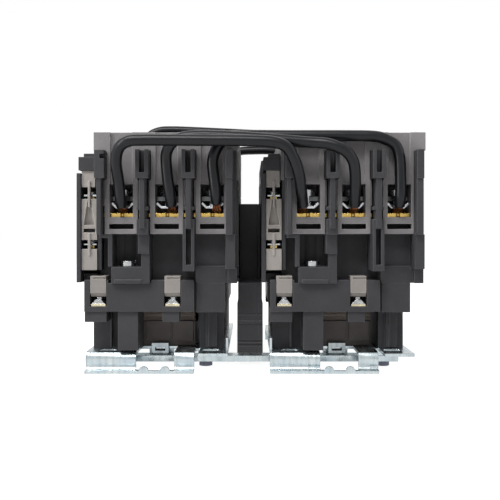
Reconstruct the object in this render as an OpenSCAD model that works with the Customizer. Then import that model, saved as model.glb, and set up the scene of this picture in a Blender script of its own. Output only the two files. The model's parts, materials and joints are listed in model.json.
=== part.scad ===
// Two three-pole contactors side by side on sheet-metal plates, joined as an interlocked change-over pair.
// Millimetres, +Z away from the mounting panel, +X across the pair, the near terminals face -Y.

/* [Assembly] */
// Distance between the middles of the two contactors
contactor_pitch = 88; // [86:0.5:110]
// Width of one contactor with its auxiliary block
contactor_w = 77; // [76:0.5:84]
// Height of the front face of the arc covers above the panel
cover_top = 114.1; // [110:0.1:122]
// Distance from the middle to the end faces of the contact housing's body
body_reach = 44.5; // [44:0.5:48]

/* [Poles] */
// Distance between neighbouring poles
pole_pitch = 21.35; // [21:0.05:22]
// How far the middle pole stands right of the contactor's middle
pole_offset = 4.85; // [4:0.05:5.5]
// Width of the moulded cage in front of a terminal
cage_w = 15.6; // [14:0.1:16.4]
// Width of a wire entry
entry_w = 11; // [10.8:0.1:12]
// Height of a wire entry above the terminal bar
entry_h = 13.5; // [13:0.1:14.5]
// Thickness of the walls between the poles
wall_t = 3; // [2.4:0.1:3.2]

/* [Mounting plate] */
// Thickness of the plate
sheet_t = 1.5; // [1.2:0.1:2]
// Clear height under the plate
plate_rise = 8.5; // [8.3:0.1:10]
// Distance between the fixing slots across one plate
slot_span_x = 50; // [48:1:52]
// Width of a fixing slot
slot_w = 5; // [4.4:0.1:5.4]
// Length of a fixing slot
slot_len = 9; // [7:0.5:9.5]

/* [Base and magnet] */
// Height at which the contact housing stands on the base
base_top = 43; // [42.8:0.1:45]
// Length of the magnet core across the contactor
core_w = 52; // [48:0.5:52.4]
// Thickness of the magnet core along the contactor
core_t = 44; // [36:0.5:44]
// Height of the yoke of the fixed core
yoke_h = 11; // [9:0.5:12]
// Width of the middle leg of the core
leg_w = 18; // [14:0.5:18.4]
// Width of each outer leg of the core
side_leg_w = 9; // [7:0.5:9]
// Distance that the carrier and the armature travel
stroke = 5; // [3:0.1:5]

/* [Contacts and terminals] */
// Height of the seat under the terminal bars
seat_z = 74.2; // [73.5:0.1:75]
// Thickness of a terminal bar
bar_t = 2; // [1.6:0.1:2.2]
// Width of a terminal bar at its terminal
bar_w = 17.8; // [16.4:0.1:17.9]
// Thickness of a contact tip
tip_t = 1.5; // [1:0.1:1.6]
// Diameter of a terminal screw head
screw_head_d = 8; // [7:0.1:9]
// Diameter of a terminal screw shank
screw_d = 4.6; // [4:0.1:5]

/* [Rail latch and link bar] */
// Width of the rail latch
latch_w = 8.5; // [7:0.1:9]
// Distance that the rail latch pulls out
latch_pull = 4; // [2:0.1:4]
// Thickness of the link bar under the two plates
link_t = 3; // [2:0.1:3.2]
// Length of the link bar
link_len = 146; // [140:1:156]

/* [Interlock] */
// Diameter of the two drive pins
pin_d = 3; // [2.4:0.1:3.2]
// Half angle through which the rocker tilts, in degrees
rocker_tilt = 13; // [4:1:14]

/* [Jumper wires] */
// Outer diameter of a jumper wire
wire_d = 5.4; // [4.4:0.1:5.4]
// Diameter of the bare strands at its ends
strand_d = 3.2; // [2.4:0.1:3.2]

/* [Fits] */
// Clearance between pieces that are assembled together
fit = 0.2; // [0.1:0.05:0.25]
// Clearance between pieces that move past each other
run = 0.3; // [0.25:0.05:0.4]

/* [Hidden] */

black = [0.16, 0.16, 0.17];
taupe = [0.47, 0.45, 0.45];
pale_taupe = [0.60, 0.57, 0.54];
zinc = [0.80, 0.83, 0.84];
steel = [0.70, 0.71, 0.72];
brass = [0.80, 0.65, 0.28];
copper = [0.62, 0.36, 0.20];
brown = [0.30, 0.26, 0.25];
iron = [0.45, 0.45, 0.46];

// Contactor frame: x across, y along, z up, all from the middle of one contactor
left_x = -contactor_w / 2;
right_x = contactor_w / 2;
aux_in_x = left_x + 8.8;
main_x = aux_in_x + fit;
aux_face_x = aux_in_x + 0.8;
side_wall_t = 2.6;
right_wall_t = 2.3;
plate_top = plate_rise + sheet_t;
poles = [for (i = [-1:1]) pole_offset + i * pole_pitch];
mids = [pole_offset - pole_pitch / 2, pole_offset + pole_pitch / 2];
chamber_w = pole_pitch - wall_t;
bar_top = seat_z + bar_t;
tip_top = bar_top + tip_t;
frame_z = seat_z - 8.2;
shelf_z = base_top + 7.8;
socket_z = bar_top + 15.8;
socket_top = socket_z + 13.3;
cover_reach = body_reach + 5.5;
cage_reach = cover_reach + 6;
cage_t = 2.8;
wall_reach = cage_reach + 4;
lower_reach = wall_reach + 1;
socket_reach = wall_reach + 3.5;
bar_reach = cage_reach - cage_t - fit;
screw_y = cover_reach - 1.4;
driver_d = 10;
face_recess = 1.2;
left_in_x = poles[0] - bar_w / 2 - fit;
right_in_x = poles[2] + bar_w / 2 + fit;
tip_y = [15, 21];

// Base and magnet
base_x = [-33, 31.3];
base_reach = body_reach - 4.5;
rim_z = plate_top + 19.5;
rim_reach = body_reach + 9.5;
coil_reach = core_t / 2 + 11;
shelf_screw = [-14.5, -body_reach - 5];
well_y = coil_reach + run;
core_top = plate_top + yoke_h + 17;
armature_z = core_top + stroke + 0.2;
armature_yoke_z = armature_z + 6.8;
armature_top = armature_yoke_z + 10;
window_w = (core_w - leg_w - 2 * side_leg_w) / 2;
coil_w = leg_w + 2 * window_w - 2 * run;
coil_z = plate_top + yoke_h + run;
coil_top = base_top - 0.5;
column_x = [-18.7, -9.2];
window_x = [-9.2, 19.2];
rim_lip = 1.5;
flange_t = 1.2;

// Carrier
carrier_t = 6;
carrier_top = armature_top + carrier_t;
pit_z = carrier_top + 0.6;
bridge_z = tip_top + stroke + 0.1;
bridge_bar_z = bridge_z + tip_t;
bridge_t = 2;
bridge_w = 10;
post_w = 13;
post_t = 12;
post_window_top = bridge_bar_z + bridge_t + 8.6;
post_top = post_window_top + 3;
button_w = 9;
front_t = 3;
button_top = cover_top + front_t - 1;
spring_y = core_t / 2 + 4.6;

// Drive pins between the carriers and the interlock
drive_z = armature_top + carrier_t / 2;
drive_y = 6;
drive_hole_d = pin_d + 2 * run;
drive_low = drive_z - stroke - pin_d / 2 - 0.5;
drive_high = drive_z + pin_d / 2 + 0.5;
arm_x = left_x + 3.4;

// Coil terminals as [middle x, end], the near end is -1
coil_posts = [[-27.75, -1], [7.3, -1], [7.3, 1]];
post_half = 3.75;
post_y = rim_reach - 4;
post_seat = rim_z + 2.5;

// Latch
latch_x = -0.75;
notch_x = [-10.5, 7.8];
notch_reach = coil_reach;
tongue_y = notch_reach + 3;
latch_top = plate_rise - run;
latch_z = latch_top - sheet_t;
lip_z = latch_z - sheet_t - fit;
rail_half = 17.5;
guide_y = [-rail_half - 12.5, -rail_half - 7.5];

// Link bar
link_z = plate_rise - sheet_t - link_t - 0.6;
link_top = link_z + link_t;
link_y = [-base_reach, guide_y[0] - 1.5];
tab_xs = [22, -29];
tab_w = 7;
link_screw_y = (link_y[0] + link_y[1]) / 2;

// Interlock in the frame of the pair, the gap between the contactors is in the middle
gap_w = contactor_pitch - contactor_w;
lock_x = gap_w / 2 - fit;
lock_wall = 1.3;
lock_in = lock_x - lock_wall;
lock_low_x = lock_x + 0.9;
lock_z = plate_rise;
lock_knee = base_top - 0.5;
lock_y = [-body_reach - 0.5, 20];
slider_z = armature_top - 8;
lock_top = slider_z + 29.8;
slider_half = 3.4;
rocker_z = slider_z - 12;
rocker_half = 12;
rocker_t = 3;
axle_d = 3;

// Routes of the jumper wires, chosen by hand.
// A point is [right of its pole, out from the cage, up from the bar].
// The first list is measured from a pole of the left contactor, the second from one of the right.
near_left_1 = [[0.5, 1, 3], [0.2, 3, 6.6], [-0.4, 4.4, 14.8], [-0.8, 8.4, 23], [1.1, 11.6, 29],
    [5.5, 13.6, 31.8], [13, 13.9, 32.4], [40.5, 13.9, 32.3], [60.5, 13.9, 32.1]];
near_right_1 = [[-16.5, 13.9, 31.4], [-10.6, 13.6, 28.8], [-7, 12.6, 22.6], [-5.1, 11, 16.4], [-4, 7.2, 10.6],
    [-3.2, 3.4, 6.6], [-2.7, 1, 3]];
near_left_2 = [[2.4, 1, 3.4], [2.1, 3, 7], [1.3, 3.8, 13], [0.5, 4.2, 20.6], [0.4, 5, 26.6], [2.2, 7, 30.6],
    [5.6, 8.2, 33.3], [11, 8.4, 34.7], [20, 8.4, 35], [39.15, 8.4, 34.2]];
near_right_2 = [[-23.85, 8.6, 32.2], [-14.5, 9.8, 31.4], [-8.6, 10.5, 29.6], [-4.4, 10.2, 27],
    [-1.4, 8.6, 22.6], [-0.3, 6, 15.8], [-0.1, 3.6, 9.3], [0.1, 1, 3]];
near_left_3 = [[2.2, 1, 4.6], [1.9, 3, 8.2], [1.2, 3.4, 14.8], [0.4, 3.2, 23.8], [2.4, 3, 30], [6, 2.9, 34.2],
    [12, 2.9, 35.8]];
near_right_3 = [[-50.2, 2.9, 35.8], [-25.2, 2.9, 35.8], [-12, 2.9, 35.5], [-6.2, 2.9, 33.8], [-2.3, 2.9, 31],
    [-0.5, 3, 25], [-0.2, 3.2, 16], [-0.2, 3.3, 10], [-0.3, 2.9, 6.6], [-0.4, 1, 3.2]];
far_left_1 = [[-0.1, 1, 4], [-0.8, 3.2, 8.3], [-1.8, 5.8, 18.8], [-3.4, 9.6, 30], [-6.9, 13.2, 41],
    [-7.1, 13.9, 48.8], [-3.8, 13.9, 54], [2.4, 13.9, 56.6], [10, 13.9, 57], [20.5, 13.9, 56.7],
    [50.5, 13.9, 55.3]];
far_right_1 = [[-40.2, 13.9, 53.3], [-14.2, 13.9, 51.5], [-5.2, 13.2, 47.4], [-0.8, 10.6, 39.6],
    [0.2, 6.2, 22], [0.1, 3, 8.3], [0, 1, 4]];
far_left_2 = [[0, 1, 4], [-0.8, 3.2, 9], [-2.5, 4.4, 18], [-4, 4.6, 28], [-7.5, 4.6, 38], [-9, 4.6, 45],
    [-6, 4.6, 50], [0.5, 4.6, 52.2], [17, 4.6, 52.2], [44, 4.6, 51]];
far_right_2 = [[-16.85, 4.6, 49.6], [-6.85, 4.6, 46.2], [-1.85, 4.6, 39.8], [-0.25, 4.3, 27.8],
    [0.05, 3.4, 9.8], [0.05, 1, 4]];
far_left_3 = [[0, 1, 4], [-0.2, 3, 8.3], [-0.6, 4, 17.8], [0, 4.6, 30.8], [3.6, 4.6, 38.2],
    [10.4, 4.6, 42], [19.8, 4.6, 42.8]];
far_right_3 = [[-13.5, 4.6, 42.6], [-6.1, 4.6, 39.8], [-1.9, 4.6, 32.8], [-0.5, 4.2, 21.8],
    [-0.2, 3.2, 9.3], [-0.1, 1, 4]];

function wire_half(line, side, pole, end) =
    let (x = side * contactor_pitch / 2 + poles[pole])
    [for (p = line) [x + p[0], end * (cage_reach + p[1]), bar_top + p[2]]];
function wire_route(left, left_pole, right, right_pole, end) =
    concat(wire_half(left, -1, left_pole, end), wire_half(right, 1, right_pole, end));

near_route_1 = wire_route(near_left_1, 0, near_right_1, 0, -1);
near_route_2 = wire_route(near_left_2, 1, near_right_2, 1, -1);
near_route_3 = wire_route(near_left_3, 2, near_right_3, 2, -1);
far_route_1 = wire_route(far_left_1, 0, far_right_1, 2, 1);
far_route_2 = wire_route(far_left_2, 1, far_right_2, 1, 1);
far_route_3 = wire_route(far_left_3, 2, far_right_3, 0, 1);

// Small helpers
function unit(v) = v / norm(v);
function aim(p, i) = unit(p[min(i + 1, len(p) - 1)] - p[max(i - 1, 0)]);
function upright(n, t) = unit(n - (n * t) * t);
function carried(p, i, n) = i == len(p) ? [] :
    let (m = upright(n, aim(p, i))) concat([m], carried(p, i + 1, m));
function pick(p, i) = p[max(0, min(len(p) - 1, i))];
function blend(a, b, c, d, t) =
    0.5 * (2 * b + (c - a) * t + (2 * a - 5 * b + 4 * c - d) * t * t + (3 * b - a - 3 * c + d) * t * t * t);
function smooth(p, n) = concat(
    [for (i = [0:len(p) - 2]) for (k = [0:n - 1])
        blend(pick(p, i - 1), p[i], p[i + 1], pick(p, i + 2), k / n)], [p[len(p) - 1]]);
function coil_path(r, z0, z1, turns, steps) =
    [for (i = [0:turns * steps]) [r * cos(360 * i / steps), r * sin(360 * i / steps),
        z0 + (z1 - z0) * i / (turns * steps)]];
function sheet_side(p, t, s) =
    [for (i = [0:len(p) - 1]) let (a = aim(p, i)) p[i] + s * t / 2 * [-a[1], a[0]]];
function sheet_outline(p, t) =
    let (a = sheet_side(p, t, 1), b = sheet_side(p, t, -1))
    concat(a, [for (i = [len(b) - 1:-1:0]) b[i]]);

module span(x, y, z) {
    translate([x[0], y[0], z[0]]) cube([x[1] - x[0], y[1] - y[0], z[1] - z[0]]);
}

module rod(p, d, z0, z1) {
    translate([p[0], p[1], z0]) cylinder(h = z1 - z0, d = d, $fn = 48);
}

module cross_rod(x0, x1, y, z, d) {
    translate([x0, y, z]) rotate([0, 90, 0]) cylinder(h = x1 - x0, d = d, $fn = 48);
}

module tube(p, d, sides, start, shape) {
    n = carried(p, 0, start);
    rings = len(p);
    points = [for (i = [0:rings - 1]) let (b = cross(aim(p, i), n[i]), f = pick(shape, i))
        for (k = [0:sides - 1])
            p[i] + d / 2 * (f[0] * cos(360 * k / sides) * n[i] + f[1] * sin(360 * k / sides) * b)];
    walls = [for (i = [0:rings - 2]) for (k = [0:sides - 1]) for (h = [0:1])
        let (a = i * sides + k, b = i * sides + (k + 1) % sides)
        h == 0 ? [a, a + sides, b + sides] : [a, b + sides, b]];
    caps = [for (k = [1:sides - 2]) for (h = [0:1])
        let (last = (rings - 1) * sides)
        h == 0 ? [0, k, k + 1] : [last, last + k + 1, last + k]];
    polyhedron(points = points, faces = concat(walls, caps), convexity = 6);
}

module both_ends() {
    children();
    mirror([0, 1, 0]) children();
}

module at_poles() {
    for (x = poles) translate([x, 0, 0]) children();
}

module left_place() {
    translate([-contactor_pitch / 2, 0, 0]) children();
}

module right_place() {
    translate([contactor_pitch / 2, 0, 0]) children();
}

module both_places() {
    left_place() children();
    right_place() children();
}

// Mounting plate with a folded foot at each end
// A point is [out from the base, share of the way from the panel to the plate]
foot_line = [[-1, 1], [7.6, 1], [9.2, 0.95], [10.1, 0.82], [10.3, 0.64], [10, 0.45], [9.5, 0.31], [9.7, 0.17],
    [10.7, 0.04], [12.2, 0], [13.6, 0]];
foot_points = [for (p = foot_line) [-base_reach - p[0], sheet_t / 2 + p[1] * (plate_top - sheet_t)]];
foot_x = [-34.5, 17.3];
foot_reach = base_reach + 13.6;
tab_x = [19.5, 33.5];
tab_reach = base_reach + 15.5;
slot_y = base_reach + 5;
ear_h = 6;

module foot_fold(x0, x1) {
    translate([x0, 0, 0]) rotate([90, 0, 90])
        linear_extrude(height = x1 - x0) polygon(sheet_outline(foot_points, sheet_t));
}

module fixing_slot() {
    translate([0, 0, plate_rise - 1]) {
        translate([-(slot_len - slot_w) / 2, 0, 0]) cylinder(h = sheet_t + 2, d = slot_w, $fn = 48);
        translate([(slot_len - slot_w) / 2, 0, 0]) cylinder(h = sheet_t + 2, d = slot_w, $fn = 48);
        translate([-(slot_len - slot_w) / 2, -slot_w / 2, 0]) cube([slot_len - slot_w, slot_w, sheet_t + 2]);
    }
}

module latch_guide(s) {
    x0 = latch_x + s * (latch_w / 2 + run);
    x1 = x0 + s * 1.6;
    x2 = x0 - s * 1.8;
    span([min(x0, x1), max(x0, x1)], guide_y, [lip_z - 0.1, plate_rise]);
    span([min(x1, x2), max(x1, x2)], guide_y, [lip_z - 0.1, latch_z - run]);
}

module link_tab(x) {
    span([x - tab_w / 2, x + tab_w / 2], [-base_reach, -base_reach + sheet_t], [link_top, plate_rise]);
    difference() {
        span([x - tab_w / 2, x + tab_w / 2], [-base_reach, link_screw_y + 4], [link_top, link_top + sheet_t]);
        rod([x, link_screw_y], 4.3, link_top - 1, link_top + 4);
    }
}

module mount_plate(ear_x) {
    color(zinc) {
        difference() {
            union() {
                span([foot_x[0], tab_x[1]], [-base_reach, base_reach], [plate_rise, plate_top]);
                both_ends() {
                    foot_fold(foot_x[0], foot_x[1]);
                    span(tab_x, [-tab_reach, -base_reach + 1], [plate_rise, plate_top]);
                }
                span(ear_x, [-base_reach - 6, -base_reach - 1], [plate_rise, plate_top + ear_h]);
            }
            span(notch_x, [-foot_reach - 6, -notch_reach], [-1, plate_top + 1]);
            for (x = [-slot_span_x / 2, slot_span_x / 2]) for (y = [-slot_y, slot_y])
                translate([x, y, 0]) fixing_slot();
        }
        difference() {
            span(notch_x, [-foot_reach, -foot_reach + 3.2], [0, sheet_t]);
            span([notch_x[0] + 4, notch_x[1] - 4], [-foot_reach + 2, -foot_reach + 3.6], [-1, sheet_t + 1]);
        }
        for (x = [-6.4, 3.6]) translate([x, -foot_reach + 1, sheet_t - 0.3]) rotate([90, 0, 0])
            intersection() {
                cylinder(h = 1, r = 2.4, $fn = 32);
                translate([-3, 0, -1]) cube([6, 3, 3]);
            }
        latch_guide(-1);
        latch_guide(1);
        span([latch_x - 4, latch_x + 4], [rail_half + 0.6, rail_half + 0.6 + sheet_t], [lip_z, plate_rise]);
        span([latch_x - 4, latch_x + 4], [rail_half - 2, rail_half + 0.7], [lip_z, lip_z + sheet_t]);
        for (x = tab_xs) link_tab(x);
    }
}

module rail_latch() {
    x = [latch_x - latch_w / 2, latch_x + latch_w / 2];
    color(zinc) {
        span(x, [-tongue_y + sheet_t - 0.1, -rail_half - 0.6], [latch_z, latch_top]);
        difference() {
            span(x, [-tongue_y, -tongue_y + sheet_t], [latch_z, plate_top + 2]);
            span([latch_x - 2.5, latch_x + 2.5], [-tongue_y - 1, -tongue_y + 2],
                [plate_rise - 0.4, plate_top - 0.2]);
        }
        span(x, [-rail_half - 0.6 - sheet_t, -rail_half - 0.6], [lip_z, latch_z + 0.1]);
        span(x, [-rail_half - 0.7, -rail_half + 2], [lip_z, lip_z + sheet_t]);
    }
}

// Base moulding round the magnet, with the coil terminal rims at both ends
module base_housing() {
    color(black) difference() {
        union() {
            span(base_x, [-base_reach, base_reach], [plate_top, base_top]);
            span([-34.4, 17.6], [-rim_reach, rim_reach], [rim_z, base_top]);
            span([17.5, 32.2], [-rim_reach + 2, rim_reach - 2], [rim_z - 0.5, base_top]);
            both_ends() {
                span(column_x, [-rim_reach + 1.5, -base_reach + 0.1], [plate_top + 1, rim_z + 0.1]);
                span([-34.4, -24], [-rim_reach + 1, -rim_reach + 11], [rim_z - 5, rim_z + 0.1]);
                span([2.5, 10.5], [-rim_reach + 1, -rim_reach + 7], [rim_z - 5, rim_z + 0.1]);
                span([-24.4, -23.4], [-base_reach - 2.5, -base_reach + 0.1], [plate_top + 1, rim_z + 0.1]);
                for (x = [[-34.4, -23], [-2.8, 17.4]])
                    span(x, [-rim_reach, -body_reach - fit], [base_top - 0.1, base_top + rim_lip]);
                span([22.4, 28], [-base_reach - 2, -base_reach + 0.1], [plate_top + 1, rim_z]);
                span([23.6, 24.4], [-base_reach - 2.6, -base_reach], [plate_top + 1, rim_z]);
            }
        }
        span([-core_w / 2 - run, core_w / 2 + run], [-well_y, well_y], [plate_top - 1, base_top + 1]);
        both_ends() {
            span(window_x, [-rim_reach + 8, -well_y + 0.1], [plate_top - 1, rim_z]);
            span([17.6, 18.5], [-rim_reach - 6, -rim_reach + 4], [rim_z - 1, base_top + 1]);
            rod(shelf_screw, 4.3, rim_z + 4, base_top + 1);
        }
        for (p = coil_posts) translate([p[0], p[1] * (post_y - 0.1), 0])
            span([-post_half - fit, post_half + fit], [-4.3, 4.3], [post_seat, base_top + rim_lip + 1]);
        for (y = [-27, -9, 9, 27]) {
            span([base_x[0] - 1, base_x[0] + 0.8], [y - 4, y + 4], [plate_top + 4, rim_z]);
            span([base_x[1] - 0.8, base_x[1] + 1], [y - 4, y + 4], [plate_top + 4, rim_z]);
        }
    }
}

module fixed_core() {
    color(iron) {
        span([-core_w / 2, core_w / 2], [-core_t / 2, core_t / 2], [plate_top, plate_top + yoke_h]);
        legs(plate_top + yoke_h - 0.1, core_top);
    }
}

module legs(z0, z1) {
    span([-leg_w / 2, leg_w / 2], [-core_t / 2, core_t / 2], [z0, z1]);
    span([-core_w / 2, -core_w / 2 + side_leg_w], [-core_t / 2, core_t / 2], [z0, z1]);
    span([core_w / 2 - side_leg_w, core_w / 2], [-core_t / 2, core_t / 2], [z0, z1]);
}

module coil_bobbin() {
    bore_x = leg_w / 2 + run;
    bore_y = core_t / 2 + run;
    color(brown) difference() {
        union() {
            span([-bore_x - 1, bore_x + 1], [-bore_y - 1.2, bore_y + 1.2], [coil_z, coil_top]);
            span([-coil_w / 2, coil_w / 2], [-coil_reach, coil_reach], [coil_z, coil_z + flange_t]);
            span([-coil_w / 2, coil_w / 2], [-coil_reach, coil_reach], [coil_top - 2, coil_top]);
            both_ends() {
                span([-coil_w / 2, coil_w / 2], [-coil_reach, -coil_reach + 3],
                    [plate_top + fit, coil_z + 1]);
                span([5.5, 15.5], [-coil_reach - 1.2, -coil_reach + 1], [plate_top + 3, coil_z + 1.4]);
                span([-8, 4], [-coil_reach - 0.5, -coil_reach + 1], [plate_top + 3, coil_z + 1.4]);
            }
        }
        span([-bore_x, bore_x], [-bore_y, bore_y], [plate_top, coil_top + 1]);
    }
}

module coil_winding() {
    bore_x = leg_w / 2 + run + 1;
    bore_y = core_t / 2 + run + 1.2;
    out_x = coil_w / 2 - 0.6;
    out_y = coil_reach - 1.2;
    step = (coil_top - coil_z - flange_t - 2) / 9;
    color(brown) difference() {
        union() {
            span([-out_x, out_x], [-out_y, out_y], [coil_z + flange_t, coil_top - 2]);
            for (i = [0:8]) span([-out_x - 0.3, out_x + 0.3], [-out_y - 0.4, out_y + 0.4],
                [coil_z + flange_t + (i + 0.2) * step, coil_z + flange_t + (i + 0.8) * step]);
        }
        span([-bore_x, bore_x], [-bore_y, bore_y], [coil_z, coil_top]);
    }
}

// Contact housing with pole walls, sockets and the recesses at its ends
module socket(x) {
    difference() {
        span([x - 3, x + 3], [-socket_reach, -cover_reach - fit], [socket_z, socket_top]);
        span([x - 1.25, x + 1.25], [-socket_reach - 1, -socket_reach + 6.5],
            [socket_z + 2.7, socket_top + 1]);
    }
    span([x - 1.2, x + 1.2], [-socket_reach + 1, -cover_reach - fit], [frame_z + 3, socket_z + 0.1]);
}

module housing_end() {
    root = -body_reach + 0.1;
    lintel = [-lower_reach, -bar_reach];
    lip_y = -cage_reach - fit;
    at_poles() span([-chamber_w / 2 - 0.1, chamber_w / 2 + 0.1], [-bar_reach, root], [frame_z, seat_z]);
    for (x = mids) {
        socket(x);
        span([x - 2.7, x + 2.7], lintel, [frame_z, seat_z - 1]);
        span([x - 2.7, x + 2.7], lintel, [bar_top + 1.2, bar_top + 2.8]);
    }
    span([mids[1] - 2.7, mids[1] + 2.7], [-lower_reach, root], [base_top + 6, frame_z + 3]);
    span([mids[0] - 2.7, mids[0] + 2.7], [-cage_reach - 1, root], [base_top + 14, frame_z + 0.1]);
    span([mids[0] - 1.3, mids[0] + 2.7], [-cage_reach, root], [base_top, base_top + 14.1]);
    span([left_in_x - 2.1, left_in_x + 2.5], [-socket_reach, lip_y], [socket_z, socket_top - 0.3]);
    span([left_in_x - 2.1, left_in_x + 1.3], [lip_y - 0.1, -cover_reach - fit], [socket_z, socket_top - 0.3]);
    span([left_in_x - 1.2, left_in_x + 0.8], [-socket_reach + 1, lip_y], [frame_z, socket_z + 0.1]);
    span([left_in_x - 2, left_in_x], [lip_y - 0.1, -cover_reach + 0.1], [frame_z, socket_z + 0.1]);
    span([right_in_x - 2.5, right_in_x + 0.8], [-socket_reach, lip_y], [socket_z, socket_top]);
    span([right_in_x - 1.2, right_in_x + 2.3], [lip_y - 0.1, -cover_reach - fit], [socket_z, socket_top]);
    span([right_in_x - 2.5, right_in_x + 0.7], [-socket_reach + 1, lip_y], [frame_z, socket_z + 0.1]);
    span([right_in_x, right_in_x + 2.3], [lip_y - 0.1, -cover_reach + 0.1], [frame_z, socket_z + 0.1]);
    span([-21.2, -3.1], [-cage_reach, root], [base_top, shelf_z]);
    span([-19.5, -7.2], [-cage_reach - 0.7, -cage_reach + 0.1], [base_top, base_top + 1.8]);
    span([-22.7, -20.7], [-cage_reach, root], [shelf_z - 0.1, frame_z + 0.1]);
    span([left_in_x - 1.2, -20.8], [-cage_reach, root], [frame_z - 1.6, frame_z + 0.1]);
    span([mids[1] + 2.6, right_x - 1], [-cover_reach, root], [base_top, frame_z + 0.1]);
    span([mids[1] + 2.6, right_x - 1], [-cover_reach - 2, -cover_reach + 0.1], [base_top, base_top + 8]);
    span([right_x - 6, right_x - 1.4], [-wall_reach, root], [base_top + 7, frame_z + 0.1]);
    span([right_x - 5, right_x - 0.6], [-cage_reach + 1.5, root], [base_top, base_top + 7.1]);
}

module side_pockets(x) {
    for (y = [-34, 34]) span(x, [y - 3.5, y + 3.5], [base_top + 6, base_top + 16]);
    for (y = [-24, 24]) span(x, [y - 4, y + 4], [seat_z - 8, seat_z - 4.5]);
    span(x, [-body_reach - 1, body_reach + 1], [base_top + 2.2, base_top + 3]);
    span(x, [-wall_reach + 6, wall_reach - 6], [socket_z - 4.4, socket_z - 3.6]);
}

module contact_housing() {
    arm_z = armature_top - stroke - 0.4;
    color(black) difference() {
        union() {
            span([main_x, right_x], [-body_reach, body_reach], [base_top, seat_z]);
            for (x = mids)
                span([x - wall_t / 2, x + wall_t / 2], [-wall_reach, wall_reach], [frame_z, socket_z]);
            span([main_x, main_x + side_wall_t], [-cover_reach, cover_reach], [base_top + 6, socket_z]);
            span([right_x - right_wall_t, right_x], [-cover_reach, cover_reach], [base_top + 8, socket_z]);
            both_ends() housing_end();
        }
        both_ends() {
            span([mids[1] - 1.2, mids[1] + 1.2], [-lower_reach - 1, -lower_reach + 6],
                [base_top + 9, frame_z + 2.6]);
            span([left_in_x + 0.5, left_in_x + 3], [-socket_reach - 1, -socket_reach + 3.5],
                [socket_top - 4.3, socket_top - 2.3]);
            rod(shelf_screw, 4.3, base_top - 1, base_top + 9);
            rod(shelf_screw, 12, shelf_z, frame_z);
            at_poles() span([-entry_w / 2 - 0.3, entry_w / 2 + 0.3], [-bar_reach - 1, -bar_reach + 6],
                [frame_z + 2.6, frame_z + 5]);
            span([main_x - 1, aux_face_x + fit], [-cover_reach - 1, -aux_depth + fit],
                [aux_z - fit, socket_z + 1]);
        }
        side_pockets([right_x - 0.9, right_x + 1]);
        span([-core_w / 2 - 0.5, core_w / 2 + 0.5], [-core_t / 2 - 0.5, core_t / 2 + 0.5],
            [base_top - 1, pit_z]);
        span([-6, 6], [-spring_y - 5, spring_y + 5], [base_top - 1, pit_z]);
        span([poles[0] - post_w / 2 - 1, poles[2] + post_w / 2 + 1], [-10, 10], [arm_z, pit_z]);
        at_poles() span([-post_w / 2 - 0.6, post_w / 2 + 0.6], [-post_t / 2 - 0.6, post_t / 2 + 0.6],
            [pit_z - 1, seat_z + 1]);
        span([main_x - 1, poles[0]], [-4, 9.6], [arm_z, pit_z]);
        span([poles[2], right_x + 1], [-drive_y - 2.2, -drive_y + 2.2], [drive_low, drive_high]);
    }
}

// Arc cover with a cage in front of each terminal and a driver hole above each screw
module cage() {
    half = cage_w / 2;
    post_half_w = pole_pitch / 2 - 3.275;
    top = socket_z - fit;
    difference() {
        union() {
            span([-half, half], [-cage_reach, -cage_reach + cage_t], [frame_z + 0.3, top]);
            span([-half, half], [-cage_reach + cage_t - 0.1, -cover_reach + 0.1], [bar_top + fit, top]);
            span([-half, half], [-cover_reach, -body_reach + 6.5], [bar_top + fit, socket_z + 0.1]);
            span([-half - 0.8, half + 0.8], [-cage_reach + 0.8, -cover_reach - fit], [bar_top + 3.2, top]);
            span([-post_half_w, post_half_w], [-cage_reach, -cover_reach + 0.1],
                [top - 0.1, socket_top + fit + 0.1]);
        }
        span([-entry_w / 2, entry_w / 2], [-cage_reach - 1, -body_reach + 4.5], [seat_z, bar_top + entry_h]);
        span([-entry_w / 2 - 0.3, entry_w / 2 + 0.3], [-cage_reach - 1, -cage_reach + cage_t + 0.1],
            [frame_z + 2.6, frame_z + 5]);
    }
}

module button_gap(z0) {
    half = button_w / 2 + run;
    span([poles[1] - half, poles[1] + half], [-half, half], [z0, cover_top + front_t + 1]);
}

module cover_vents(x) {
    for (s = [-1, 1]) for (i = [0:4])
        span(x, [s * 24 - 6.6 + i * 3, s * 24 - 5.4 + i * 3], [socket_top - 1, cover_top - 3.6]);
}

module arc_cover() {
    cavity_reach = body_reach - 7.5;
    color(taupe) difference() {
        union() {
            span([main_x, right_x], [-cover_reach, cover_reach], [socket_z, cover_top]);
            span([main_x, right_x], [-cage_reach, cage_reach], [socket_top + fit, cover_top]);
            both_ends() at_poles() cage();
        }
        span([main_x + 3, right_x - 2.6], [-cavity_reach, cavity_reach], [socket_z - 1, post_top + 3]);
        button_gap(post_top);
        both_ends() at_poles() {
            rod([0, -screw_y], driver_d, bar_top + entry_h - 0.5, cover_top + 1);
            span([-entry_w / 2 + 0.4, entry_w / 2 - 0.4], [-cage_reach - 1, -cage_reach + face_recess],
                [bar_top + entry_h - 0.5, cover_top + 1]);
            span([-5.5, 5.5], [-cavity_reach + 1, -cavity_reach + 6], [cover_top - 0.5, cover_top + 1]);
        }
        cover_vents([main_x - 1, main_x + 1.2]);
        cover_vents([right_x - 1.2, right_x + 1]);
    }
}

module front_plate() {
    color(black) difference() {
        union() {
            span([-16, 26], [-22, 22], [cover_top, cover_top + front_t]);
            span([-19, -15.9], [-10, 10], [cover_top, cover_top + 1.4]);
            span([25.9, 29], [-10, 10], [cover_top, cover_top + 1.4]);
        }
        button_gap(cover_top - 1);
        span([-13, 23], [-19, -11], [cover_top + front_t - 0.8, cover_top + front_t + 1]);
    }
}

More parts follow.
